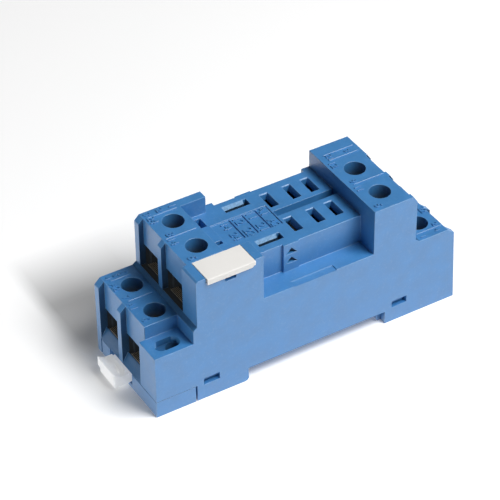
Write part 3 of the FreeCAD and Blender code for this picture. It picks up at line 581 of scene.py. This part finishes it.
def ramp_material():
    """The coil slots' lead-ins: the same plastic in a far paler blue, which paints the light on these
    lit walls, with fine pale streaks.
    """
    look = bpy.context.scene.socket_shell
    material, tree, shader = new_material("lead_in_painted_light")
    streaks = group_node(tree, "fibre_streaks", fibre_streak_group, Flecks_per_metre=2500.0)
    grain = group_node(tree, "skin_grain", skin_grain_group, Grain_per_metre=4000.0,
                       Patches_per_metre=1800.0)
    pale = tuple(look.ramp_pale)
    tone = mix_colour(tree, map_range(tree, grain.outputs["Patch"], 0.35, 0.65),
                      tuple(0.72 * c for c in pale), pale)
    flecked = mix_colour(tree, math_node(tree, "MULTIPLY", streaks.outputs["Mask"], 0.5), tone,
                         (0.62, 0.72, 0.82))
    wire(tree, (flecked, shader.inputs["Base Color"]))
    shader.inputs["Roughness"].default_value = 0.45
    bump(tree, shader, grain.outputs["Height"], 0.00001)
    return material


def nylon_material():
    """Milky nylon: light goes in and comes out softened, with a faint cloudiness, and a painted glow
    that lifts it in shade.
    """
    look = bpy.context.scene.socket_trim
    material, tree, shader = new_material("milky_nylon")
    grain = group_node(tree, "skin_grain", skin_grain_group, Grain_per_metre=4500.0,
                       Patches_per_metre=500.0)
    nylon = tuple(look.nylon)
    tone = mix_colour(tree, map_range(tree, grain.outputs["Patch"], 0.3, 0.7),
                      tuple(0.95 * c for c in nylon), nylon)
    rough = map_range(tree, grain.outputs["Patch"], 0.3, 0.7, 0.28, 0.40)
    body = mix_colour(tree, 0.35, tone, (0.0, 0.0, 0.0))
    wire(tree, (body, shader.inputs["Base Color"]), (rough, shader.inputs["Roughness"]))
    shader.inputs["Subsurface Weight"].default_value = 0.6
    shader.inputs["Subsurface Radius"].default_value = (1.0, 1.0, 1.0)
    shader.inputs["Subsurface Scale"].default_value = 0.003
    shader.inputs["Specular IOR Level"].default_value = 0.6
    bump(tree, shader, grain.outputs["Height"], 0.000004)
    # Painted glow in the nylon's own tone.
    shader.inputs["Emission Strength"].default_value = look.nylon_glow
    wire(tree, (tone, shader.inputs["Emission Color"]))
    return material


def ivory_material():
    """Matt ivory plastic of the marker tag, with a trace of dust in its grain."""
    look = bpy.context.scene.socket_trim
    material, tree, shader = new_material("ivory_tag")
    grain = group_node(tree, "skin_grain", skin_grain_group, Grain_per_metre=7000.0,
                       Patches_per_metre=180.0)
    ivory = tuple(look.ivory)
    tone = mix_colour(tree, map_range(tree, grain.outputs["Patch"], 0.3, 0.7),
                      tuple(0.97 * c for c in ivory), tuple(min(1.0, 1.02 * c) for c in ivory))
    rough = map_range(tree, grain.outputs["Patch"], 0.3, 0.7, 0.60, 0.70)
    wire(tree, (tone, shader.inputs["Base Color"]), (rough, shader.inputs["Roughness"]))
    shader.inputs["Specular IOR Level"].default_value = 0.25
    bump(tree, shader, grain.outputs["Height"], 0.000003)
    return material


def metal_material(name, colour, shade, roughness, brush):
    """Plated or rolled metal: brushed along one axis, duller in patches."""
    found = bpy.data.materials.get(name)
    if found:
        return found
    material, tree, shader = new_material(name)
    place = tree.nodes.new("ShaderNodeTexCoord").outputs["Object"]
    stretch = tree.nodes.new("ShaderNodeMapping")
    stretch.inputs["Scale"].default_value = brush
    wire(tree, (place, stretch.inputs["Vector"]))
    brushed = noise_node(tree, stretch.outputs["Vector"], 9000.0, 3.0, 0.6)
    patch = noise_node(tree, place, 700.0, 3.0, 0.6)
    tone = mix_colour(tree, map_range(tree, patch, 0.35, 0.7), colour, tuple(shade * c for c in colour))
    rough = math_node(tree, "ADD", map_range(tree, patch, 0.3, 0.7, roughness - 0.06, roughness + 0.08),
                      map_range(tree, brushed, 0.3, 0.7, -0.04, 0.04))
    wire(tree, (tone, shader.inputs["Base Color"]), (rough, shader.inputs["Roughness"]))
    shader.inputs["Metallic"].default_value = 1.0
    bump(tree, shader, brushed, 0.000003)
    return material


def brass_material():
    """Rolled brass of the contact strips, brushed along X."""
    metals = bpy.context.scene.socket_metals
    return metal_material("rolled_brass", tuple(metals.brass), 0.78, 0.34, (0.12, 1.0, 1.0))


def cage_material():
    """Dark plated sheet; the attribute grip is 0.5 on the wire grips, painted near black as shade, and 1
    on the teeth's crests, painted pale with a glow as their highlight.
    """
    found = bpy.data.materials.get("zinc_cage")
    if found:
        return found
    metals = bpy.context.scene.socket_metals
    material = metal_material("zinc_cage", tuple(metals.cage_zinc), 0.70, 0.42, (1.0, 0.12, 1.0))
    tree = material.node_tree
    shader = tree.nodes["Principled BSDF"]
    plain = shader.inputs["Base Color"].links[0].from_socket
    grip = tree.nodes.new("ShaderNodeAttribute")
    grip.attribute_name = "grip"
    # Painted shade: the wire grips go near black.
    shade_paint = mix_colour(tree, map_range(tree, grip.outputs["Fac"], 0.1, 0.4), plain, (0.01, 0.01, 0.01))
    bright = map_range(tree, grip.outputs["Fac"], 0.6, 0.9)
    tone = mix_colour(tree, bright, shade_paint, tuple(metals.grip_tone))
    metallic = map_range(tree, grip.outputs["Fac"], 0.1, 0.4, 1.0, 0.0)
    wire(tree, (tone, shader.inputs["Base Color"]), (metallic, shader.inputs["Metallic"]),
         (tone, shader.inputs["Emission Color"]))
    # Painted highlight: the crests glow in their pale tone.
    glint = map_range(tree, bright, 0.0, 1.0, 0.0, metals.grip_glint)
    wire(tree, (glint, shader.inputs["Emission Strength"]))
    return material


def screw_material():
    """Bright plating of the clamp screws, brushed along Z."""
    metals = bpy.context.scene.socket_metals
    return metal_material("zinc_screw", tuple(metals.screw_zinc), 0.85, 0.30, (1.0, 1.0, 0.12))


def camera_axes(azimuth, elevation, roll=0.0):
    """Right, up and back of a view from a side and a height, turned by roll about its own axis."""
    back = Vector((math.sin(azimuth) * math.cos(elevation), -math.cos(azimuth) * math.cos(elevation),
                   math.sin(elevation)))
    right = Vector((0, 0, 1)).cross(back).normalized()
    up = back.cross(right)
    turned_right = right * math.cos(roll) + up * math.sin(roll)
    turned_up = up * math.cos(roll) - right * math.sin(roll)
    return turned_right, turned_up, back


def facing_matrix(right, up, back, place):
    """World matrix of a camera or lamp that looks along minus back."""
    turn = Matrix((right, up, back)).transposed()
    return Matrix.Translation(place) @ turn.to_4x4()


def read_values(items, name, width=1, kind=np.float32):
    """A property of a mesh's faces, corners or points, as an array with a row for each component."""
    values = np.empty(len(items) * width, dtype=kind)
    items.foreach_get(name, values)
    return values.reshape(-1, width).T


def between(values, low, high):
    """True where the values lie between two limits."""
    return (values > low) & (values < high)


def mouth_of(terminal):
    """A terminal's wire face along X, its sill's height, and the sign of X that leads inwards."""
    face, sill = MOUTHS[terminal.rsplit("_", 1)[0]]
    return face, sill, 1.0 if terminal.startswith("left") else -1.0


def painted_inner_shade_mask(mesh):
    """Corner attribute of painted shade: how dark the plastic is painted there, from 0 in the open to 1.

    It is 1 inside the clamp chambers and under the relay slots. It grows with the depth in the
    access holes, in the panel screws' wells and in the coil slots. In the wire lanes it has one
    value on the sides that face the near side and a lower one on the sills, and it has one value
    in the arrow pockets. Each of these stands in for the shade that falls in that hollow.
    """
    x, y, z = read_values(mesh.polygons, "center", 3)
    across, upward = read_values(mesh.polygons, "normal", 3)[1:]
    corners = read_values(mesh.loops, "vertex_index", 1, np.int32)[0]
    heights = read_values(mesh.vertices, "co", 3)[2][corners]
    sizes = read_values(mesh.polygons, "loop_total", 1, np.int32)[0]
    face_of = np.repeat(np.arange(len(sizes)), sizes)
    inside = np.zeros(len(corners), dtype=np.float32)
    for terminal in TERMINALS:
        low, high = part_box("clamp_cage_" + terminal)
        face, sill, inward = mouth_of(terminal)
        far_end = high.x if inward > 0 else low.x
        along = (x - face) * inward
        held = between(along, 0.25 * MM, (far_end - face) * inward + 0.7 * MM)
        held &= between(y, low.y - 1.6 * MM, high.y + 1.6 * MM)
        held &= between(z, min(low.z, sill) - 0.5 * MM, high.z + 3.9 * MM)
        inside[held[face_of]] = 1.0
        lane = between(along, -LANE_RUN, 0.3 * MM) & (abs(y) < LANE_HALF_SPAN)
        side = lane & (across < -0.7) & between(z, sill - 0.1 * MM, high.z + 7.5 * MM)
        inside[side[face_of] & (inside < LANE_SIDE_SHADE)] = LANE_SIDE_SHADE
        slant = lane & between(upward, 0.2, 0.98) & between(z, sill - 4.0 * MM, sill + 0.2 * MM)
        inside[slant[face_of] & (inside < SILL_SHADE)] = SILL_SHADE
        deck = DECK_HIGH if "high" in terminal else DECK_LOW
        axis = (low + high) / 2
        hole = np.hypot(x - axis.x, y - axis.y) < HOLE_REACH
        chosen = (hole & between(z, deck - HOLE_DEPTH, deck - SKIN))[face_of]
        inside[chosen] = np.clip((deck - heights[chosen]) / HOLE_DEPTH, 0.0, 0.9)
    for well_x, well_y in PANEL_WELLS:
        well = (abs(x - well_x) < 3.2 * MM) & (abs(y - well_y) < 1.9 * MM)
        chosen = (well & between(z, FEET + 1.0 * MM, WELL_SHELF - SKIN))[face_of]
        depth = (WELL_SHELF - heights) / WELL_DEPTH
        inside[chosen] = np.clip(0.15 + 0.4 * depth, 0.0, 0.95)[chosen]
    for slot in COIL_SLOTS:
        wall = between(x, -10.3 * MM, -3.7 * MM) & (abs(y - slot) < 1.2 * MM)
        chosen = (wall & between(z, FEET + 20.0 * MM, SLOT_TOP - 0.05 * MM))[face_of]
        inside[chosen] = np.clip((SLOT_TOP - heights) / (1.5 * MM), 0.0, 0.85)[chosen]
    for apex in ARROW_TOPS:
        pocket = (abs(x - ARROW_X) < 1.6 * MM) & between(y, ARROW_Y + 0.02 * MM, ARROW_Y + 1.6 * MM)
        pocket &= between(z, apex - 1.6 * MM, apex + 0.05 * MM) & (upward < 0.5)
        inside[pocket[face_of]] = POCKET_SHADE
    along_room, across_room, up_room = SLOT_ROOM
    room = between(x, *along_room) & between(y, *across_room) & between(z, *up_room)
    inside[room[face_of]] = 1.0
    mesh.attributes.new("painted_inner_shade", "FLOAT", "CORNER").data.foreach_set("value", inside)


def raised_line(x0, x1, y, level, width, height):
    """Label line along X: a half ellipse, width across and height up, run from x0 to x1.

    The section is (w/2 cos a, h sin a) for a from 0 to 180 degrees, closed underneath, and it
    shrinks to a third in the last half width at both ends, so that the line ends rounded.
    """
    angles = np.linspace(0.0, np.pi, 7)
    across = np.concatenate([width / 2 * np.cos(angles), [-width / 2, width / 2]])
    up = np.concatenate([height * np.sin(angles), [-0.03 * MM, -0.03 * MM]])
    stations = np.array([x0, x0 + 0.3 * width, x0 + 0.8 * width, x1 - 0.8 * width, x1 - 0.3 * width, x1])
    swell = np.array([0.35, 0.8, 1.0, 1.0, 0.8, 0.35])
    rings = np.empty((len(stations), len(across), 3))
    rings[:, :, 0] = stations[:, None]
    rings[:, :, 1] = y + swell[:, None] * across[None, :]
    rings[:, :, 2] = level + np.where(up > 0, swell[:, None] * up[None, :], up[None, :])
    return loft("label_line", rings)


def raised_label(text, x, y, size, level, height):
    """Raised characters read along minus Y, with their upper side towards plus X."""
    curve = bpy.data.curves.new("label_text", "FONT")
    curve.body = text
    curve.size = size * 1.38
    curve.align_x = "CENTER"
    curve.align_y = "CENTER"
    curve.extrude = height / 2 - 0.02 * MM
    curve.offset = 0.011 * size
    curve.bevel_depth = 0.035 * MM
    curve.bevel_resolution = 0
    curve.resolution_u = 3
    holder = bpy.data.objects.new("label_text", curve)
    mesh = bpy.data.meshes.new_from_object(holder)
    bpy.data.objects.remove(holder)
    bpy.data.curves.remove(curve)
    turn = Matrix.Rotation(-math.pi / 2, 4, "Z")
    mesh.transform(Matrix.Translation((x, y, level + height / 2 - 0.015 * MM)) @ turn)
    return mesh


def ribbed_ramp(x0, x1, y, z, run, drop, pitch):
    """Lead-in on the far wall of a coil slot: a slope of run by drop with shallow ribs down it.

    The section slides along X, and its face moves in and out by 0.04 mm times |sin(pi x / pitch)|.
    """
    stations = np.linspace(x0, x1, int((x1 - x0) / pitch * 6))
    wave = 0.04 * MM * np.abs(np.sin(np.pi * (stations - x0) / pitch))
    rings = np.empty((len(stations), 4, 3))
    rings[:, :, 0] = stations[:, None]
    rings[:, :, 1] = y + np.array([0.0, 0.06 * MM, 0.06 * MM, 0.0])[None, :]
    rings[:, :, 2] = z + np.array([0.0, 0.0, -drop, -drop])[None, :]
    rings[:, 0, 1] -= 0.5 * wave
    rings[:, 3, 1] -= run + wave
    return loft("slot_ramp", rings)


def contact_tip(x, y, z):
    """The bent end of a receptacle in the far corner of a contact slot: its outline, run along Y."""
    outline = np.array(TIP_OUTLINE) * MM
    rings = np.empty((2, len(outline), 3))
    rings[:, :, 0] = x + outline[None, :, 0]
    rings[:, :, 1] = np.array([y, y - TIP_WIDTH])[:, None]
    rings[:, :, 2] = z + outline[None, :, 1]
    return loft("contact_tip", rings)


def serrated_tongue(terminal, pitch, depth, fall):
    """Wire grip on a mouth's floor: a sawtooth along X, carried straight across the cage's width.

    Each tooth rises steeply on the mouth's side to a bevelled crest and falls back behind it. The first
    six also step down inwards, tooth n by n times fall, so that each holds the wire a little deeper.
    """
    low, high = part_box("clamp_cage_" + terminal)
    face, sill, inward = mouth_of(terminal)
    start = face + inward * 0.12 * MM
    end = low.x if inward > 0 else high.x
    if sill > low.z + 0.5 * MM:
        end = start + inward * HIGH_TONGUE
    length = abs(end - start)
    count = int(length / pitch)
    tooth = np.repeat(np.arange(count), 3)
    steps = tooth * pitch + np.tile([0.0, 0.1 * pitch, 0.25 * pitch], count)
    teeth = np.tile([0.0, 0.7 * depth, depth], count) - fall * np.minimum(tooth, 6)
    base = sill + 0.02 * MM
    xs = np.concatenate([steps, [length, length, 0.0]])
    zs = np.concatenate([base + 0.24 * MM + teeth, [base + 0.06 * MM, base, base]])
    sides = np.array([low.y + 0.02 * MM, high.y - 0.02 * MM])
    rings = np.empty((2, len(xs), 3))
    rings[:, :, 0] = start + inward * xs[None, :]
    rings[:, :, 1] = sides[:, None]
    rings[:, :, 2] = zs[None, :]
    return loft("wire_grip", rings)


def threaded_shank(x, y, z0, z1, outer, pitch, depth):
    """Screw shank: radius outer/2 less depth times a rounded sawtooth of (height/pitch - turn).

    The grid runs round the shank and up it, eight rows to a pitch, so the groove winds as a helix.
    """
    around = 36
    rows = max(8, int((z1 - z0) / pitch * 8))
    turn = np.linspace(0.0, 1.0, around, endpoint=False)
    height = np.linspace(z0, z1, rows)
    phase = (height[:, None] - z0) / pitch - turn[None, :]
    wave = np.abs(2.0 * (phase - np.floor(phase)) - 1.0)
    groove = np.clip(1.35 * wave - 0.15, 0.0, 1.0)
    lead = np.clip((height - z0) / (1.2 * pitch), 0.0, 1.0)
    radius = outer / 2 - depth * groove - (1.0 - lead)[:, None] * 0.5 * depth
    rings = np.empty((rows, around, 3))
    rings[:, :, 0] = x + radius * np.cos(2 * np.pi * turn)[None, :]
    rings[:, :, 1] = y + radius * np.sin(2 * np.pi * turn)[None, :]
    rings[:, :, 2] = height[:, None]
    return loft("shank", rings)


def screw_head(node, name, under):
    """The head of a clamp screw: the node's copy above its underside, closed there."""
    mesh = clean_copy(node, name)
    bm = bmesh.new()
    bm.from_mesh(mesh)
    geometry = bm.verts[:] + bm.edges[:] + bm.faces[:]
    cut = bmesh.ops.bisect_plane(bm, geom=geometry, plane_co=(0, 0, under + 0.01 * MM),
                                 plane_no=(0, 0, 1), clear_inner=True, dist=1e-7)
    rim = [e for e in cut["geom_cut"] if isinstance(e, bmesh.types.BMEdge)]
    bmesh.ops.holes_fill(bm, edges=rim, sides=0)
    bm.to_mesh(mesh)
    bm.free()
    return outward(mesh)


def direct_rays(tree):
    """A Light Path node, and 1 for rays from the camera that come straight or through something."""
    path = tree.nodes.new("ShaderNodeLightPath")
    return path, math_node(tree, "MAXIMUM", path.outputs["Is Camera Ray"],
                           path.outputs["Is Transmission Ray"])


class SOCKET_OT_stage(bpy.types.Operator):
    """Builds the floor, the room, the lamps and the camera"""

    bl_idname = "relay_socket.stage"
    bl_label = "Stage"

    def execute(self, context):
        stage = context.scene.socket_stage
        self.floor(stage)
        self.room(context, stage)
        self.card(context, stage)
        self.key_light(context, stage)
        self.camera(context, stage)
        return {"FINISHED"}

    def floor(self, stage):
        """A pale floor that shines to the camera and in reflections, with a soft shade painted on it."""
        half = 4.0
        level = FEET - 0.02 * MM
        mesh = bpy.data.meshes.new("studio_floor")
        mesh.from_pydata([(-half, -half, level), (half, -half, level), (half, half, level),
                          (-half, half, level)], [], [(0, 1, 2, 3)])
        piece = bpy.data.objects.new("studio_floor", mesh)
        bpy.context.scene.collection.objects.link(piece)
        material, tree, shader = new_material("pale_floor")
        shader.inputs["Roughness"].default_value = 0.9
        shader.inputs["Specular IOR Level"].default_value = 0.0
        shader.inputs["Emission Color"].default_value = (1.0, 1.0, 1.0, 1.0)
        path, through = direct_rays(tree)
        seen = math_node(tree, "ADD", math_node(tree, "MULTIPLY", through, stage.floor_glow),
                         math_node(tree, "MULTIPLY", path.outputs["Is Glossy Ray"], stage.floor_shine))
        place = tree.nodes.new("ShaderNodeTexCoord")
        split = tree.nodes.new("ShaderNodeSeparateXYZ")
        wire(tree, (place.outputs["Object"], split.inputs["Vector"]))
        x, y = split.outputs["X"], split.outputs["Y"]
        along = soft_band(tree, x, *SHADE_ALONG)
        across = soft_band(tree, y, *SHADE_ACROSS)
        shade = math_node(tree, "MULTIPLY", math_node(tree, "MULTIPLY", along, across), stage.shade)
        shown = mix_colour(tree, shade, tuple(stage.floor_colour), (0.0, 0.0, 0.0))
        tone = mix_colour(tree, path.outputs["Is Camera Ray"], tuple(stage.floor_bounce), shown)
        seen = math_node(tree, "MULTIPLY", seen, math_node(tree, "SUBTRACT", 1.0, shade))
        wire(tree, (seen, shader.inputs["Emission Strength"]), (tone, shader.inputs["Base Color"]))
        mesh.materials.append(material)

    def room(self, context, stage):
        """White for rays from the camera, greyer for reflections and dim for all other rays."""
        world = bpy.data.worlds.new("studio_room")
        context.scene.world = world
        world.use_nodes = True
        tree = world.node_tree
        back = tree.nodes["Background"]
        back.inputs["Color"].default_value = (1.0, 1.0, 1.0, 1.0)
        place = tree.nodes.new("ShaderNodeTexCoord")
        split = tree.nodes.new("ShaderNodeSeparateXYZ")
        wire(tree, (place.outputs["Generated"], split.inputs["Vector"]))
        path, straight = direct_rays(tree)
        mirrored = math_node(tree, "MULTIPLY", path.outputs["Is Glossy Ray"],
                             map_range(tree, split.outputs["Z"], 0.10, 0.55, stage.world_low,
                                       stage.world_high))
        others = math_node(tree, "SUBTRACT", 1.0, math_node(tree, "MAXIMUM", straight,
                                                            path.outputs["Is Glossy Ray"]))
        lit = math_node(tree, "MULTIPLY", others, stage.world_light)
        strength = math_node(tree, "ADD", math_node(tree, "ADD", straight, mirrored), lit)
        wire(tree, (strength, back.inputs["Strength"]))

    def card(self, context, stage):
        """A white card low at the clip end, which lights the faces there."""
        lamp = bpy.data.lights.new("end_card", "AREA")
        lamp.energy = stage.card_power
        lamp.shape = "RECTANGLE"
        lamp.size, lamp.size_y = CARD_SIZE
        thing = bpy.data.objects.new("end_card", lamp)
        context.scene.collection.objects.link(thing)
        thing.visible_camera = False
        right, up, back = camera_axes(CARD_AZIMUTH, CARD_ELEVATION)
        corner = Vector((SHELL_LOW.x, 0, CARD_LEVEL))
        thing.matrix_world = facing_matrix(right, up, back, corner + back * CARD_DISTANCE)

    def key_light(self, context, stage):
        """The large soft front light."""
        lamp = bpy.data.lights.new("key_softbox", "AREA")
        lamp.energy = stage.key_power
        lamp.shape = "SQUARE"
        lamp.size = stage.key_size
        thing = bpy.data.objects.new("key_softbox", lamp)
        context.scene.collection.objects.link(thing)
        right, up, back = camera_axes(stage.key_azimuth, stage.key_elevation)
        centre = (SHELL_LOW + SHELL_HIGH) / 2
        thing.matrix_world = facing_matrix(right, up, back, centre + back * stage.key_distance)

    def camera(self, context, stage):
        """The camera at the photograph's angle, and the plain view transform."""
        data = bpy.data.cameras.new("photo_camera")
        data.sensor_width = 36.0
        data.lens = stage.camera_lens
        data.clip_start = 0.01
        data.clip_end = 20.0
        thing = bpy.data.objects.new("photo_camera", data)
        context.scene.collection.objects.link(thing)
        right, up, back = camera_axes(stage.camera_azimuth, stage.camera_elevation, stage.camera_roll)
        place = (Vector(stage.look_point) + right * stage.camera_right + up * stage.camera_up
                 + back * stage.camera_distance)
        thing.matrix_world = facing_matrix(right, up, back, place)
        context.scene.camera = thing
        context.scene.view_settings.view_transform = "Standard"


class SOCKET_OT_shell(bpy.types.Operator):
    """Dresses the housing and the base cover in blue moulded plastic with rounded edges"""

    bl_idname = "relay_socket.shell"
    bl_label = "Shell"

    def execute(self, context):
        look = context.scene.socket_shell
        for node, name in (("housing", "shell_housing"), ("base_cover", "shell_base_cover")):
            mesh = round_edges(clean_copy(node, name), look.edge_round, look.edge_steps)
            smooth_shading(mesh)
            # Painted shade for the hollows, as a corner attribute.
            painted_inner_shade_mask(mesh)
            add_piece(name, mesh, shell_material(), body_of_node(node), [node])
        return {"FINISHED"}


class SOCKET_OT_marks(bpy.types.Operator):
    """Adds the raised label lines and plain terminal numbers of the decks"""

    bl_idname = "relay_socket.marks"
    bl_label = "Raised marks"

    def execute(self, context):
        look = context.scene.socket_shell
        levels = {"high": DECK_HIGH, "low": DECK_LOW, "field": FIELD_FLOOR}
        lines = [raised_line(x0 * MM, x1 * MM, y * MM, levels[deck], look.mark_width, look.mark_height)
                 for x0, x1, y, deck in LABEL_LINES]
        numbers = [raised_label(text, x * MM, y * MM, size * MM, levels[deck], look.mark_height)
                   for text, x, y, size, deck in LABELS]
        for name, meshes, sharp in (("raised_lines", lines, 40.0), ("raised_numbers", numbers, 5.0)):
            mesh = joined(name, meshes)
            smooth_shading(mesh, sharp)
            add_piece(name, mesh, shell_material(), "base")
        return {"FINISHED"}


class SOCKET_OT_slots(bpy.types.Operator):
    """Adds the ribbed lead-ins of the coil slots and the contact ends that show in the others"""

    bl_idname = "relay_socket.slots"
    bl_label = "Slot details"

    def execute(self, context):
        step_x, step_y, step_z = TIP_STEP
        ramps = [ribbed_ramp(*RAMP_ENDS, y + RAMP_WALL, SLOT_TOP - 0.02 * MM, RAMP_RUN, RAMP_DROP,
                             RAMP_PITCH) for y in COIL_SLOTS]
        tips = [contact_tip(x + step_x, y + step_y, SLOT_TOP + step_z)
                for x in CONTACT_STATIONS for y in CONTACT_ROWS]
        for name, meshes, material, slot in (("coil_slot_ramps", ramps, ramp_material(), "blue_shell"),
                                             ("contact_tips", tips, brass_material(), "brass_strip")):
            mesh = joined(name, meshes)
            smooth_shading(mesh)
            add_piece(name, mesh, material, "base")
        return {"FINISHED"}


class SOCKET_OT_trim(bpy.types.Operator):
    """Dresses the rail clip in milky nylon and the marker tag in ivory plastic"""

    bl_idname = "relay_socket.trim"
    bl_label = "Clip and tag"

    def execute(self, context):
        look = context.scene.socket_trim
        clip = round_edges(clean_copy("rail_clip", "nylon_rail_clip"), look.clip_edge, 3)
        smooth_shading(clip)
        add_piece("nylon_rail_clip", clip, nylon_material(), "clip", ["rail_clip"])
        tag = round_edges(clean_copy("marker_tag", "ivory_marker_tag"), look.tag_edge, 2)
        smooth_shading(tag)
        add_piece("ivory_marker_tag", tag, ivory_material(), "base", ["marker_tag"])
        return {"FINISHED"}


class SOCKET_OT_strips(bpy.types.Operator):
    """Dresses the contact strips in rolled brass"""

    bl_idname = "relay_socket.strips"
    bl_label = "Contact strips"

    def execute(self, context):
        edge = context.scene.socket_metals.metal_edge
        for node in STRIPS:
            name = "brass_" + node
            mesh = round_edges(clean_copy(node, name), edge, 2)
            smooth_shading(mesh)
            add_piece(name, mesh, brass_material(), "base", [node])
        return {"FINISHED"}


class SOCKET_OT_cages(bpy.types.Operator):
    """Dresses the clamp cages in zinc-plated sheet"""

    bl_idname = "relay_socket.cages"
    bl_label = "Clamp cages"

    def execute(self, context):
        metals = context.scene.socket_metals
        for terminal in TERMINALS:
            node = "clamp_cage_" + terminal
            name = "plated_cage_" + terminal
            cage = round_edges(clean_copy(node, name), metals.metal_edge, 2)
            grip = serrated_tongue(terminal, metals.grip_pitch, metals.grip_depth, metals.grip_fall)
            plain = len(cage.polygons)
            mesh = joined(name, [cage, grip])
            slope = abs(read_values(mesh.polygons, "normal", 3)[0])
            along = read_values(mesh.polygons, "center", 3)[0]
            tongue = np.arange(len(mesh.polygons)) >= plain
            crest = tongue & (abs(along - mouth_of(terminal)[0]) < CREST_REACH)
            # Grip attribute: 0.5 on the tongue for painted shade, 1 on its crests for a painted
            # highlight.
            teeth = 0.5 * tongue + 0.5 * (crest & between(slope, *CREST_SLOPES))
            mesh.attributes.new("grip", "FLOAT", "FACE").data.foreach_set(
                "value", teeth.astype(np.float32))
            smooth_shading(mesh, 25.0)
            add_piece(name, mesh, cage_material(), body_of_node(node), [node])
        return {"FINISHED"}


class SOCKET_OT_screws(bpy.types.Operator):
    """Builds the slotted heads and threaded shanks of the clamp screws"""

    bl_idname = "relay_socket.screws"
    bl_label = "Clamp screws"

    def execute(self, context):
        metals = context.scene.socket_metals
        for terminal in TERMINALS:
            node = "clamp_screw_" + terminal
            name = "plated_screw_" + terminal
            low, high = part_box(node)
            under = high.z - HEAD_HEIGHT
            middle = (low + high) / 2
            head = round_edges(screw_head(node, name, under), metals.metal_edge, 2)
            shank = threaded_shank(middle.x, middle.y, low.z, under + 0.1 * MM, SHANK_DIAMETER,
                                   metals.thread_pitch, metals.thread_depth)
            mesh = joined(name, [head, shank])
            smooth_shading(mesh)
            add_piece(name, mesh, screw_material(), body_of_node(node), [node])
        return {"FINISHED"}


class SOCKET_PT_panel(bpy.types.Panel):
    """Sidebar panel with the socket's groups of pieces"""

    bl_idname = "SOCKET_PT_panel"
    bl_label = "Relay socket"
    bl_space_type = "VIEW_3D"
    bl_region_type = "UI"
    bl_category = "Socket"

    def draw(self, context):
        for operator in OPERATORS:
            self.layout.operator(operator.bl_idname, text=operator.bl_label)


OPERATORS = (SOCKET_OT_stage, SOCKET_OT_shell, SOCKET_OT_marks, SOCKET_OT_slots, SOCKET_OT_trim,
             SOCKET_OT_strips, SOCKET_OT_cages, SOCKET_OT_screws)
SETTINGS = {"socket_stage": StageSettings, "socket_shell": ShellSettings,
            "socket_trim": TrimSettings, "socket_metals": MetalSettings}
CLASSES = (*SETTINGS.values(), *OPERATORS, SOCKET_PT_panel)


def register():
    """Registers the classes and hangs the settings on the scene."""
    for cls in CLASSES:
        bpy.utils.register_class(cls)
    for name, cls in SETTINGS.items():
        setattr(bpy.types.Scene, name, bpy.props.PointerProperty(type=cls))


def unregister():
    """Takes the settings and the classes away again."""
    for name in SETTINGS:
        delattr(bpy.types.Scene, name)
    for cls in reversed(CLASSES):
        bpy.utils.unregister_class(cls)


def main():
    register()
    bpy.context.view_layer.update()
    bpy.ops.relay_socket.stage()
    bpy.ops.relay_socket.shell()
    bpy.ops.relay_socket.marks()
    bpy.ops.relay_socket.slots()
    bpy.ops.relay_socket.trim()
    bpy.ops.relay_socket.strips()
    bpy.ops.relay_socket.cages()
    bpy.ops.relay_socket.screws()


if __name__ == "__main__":
    main()
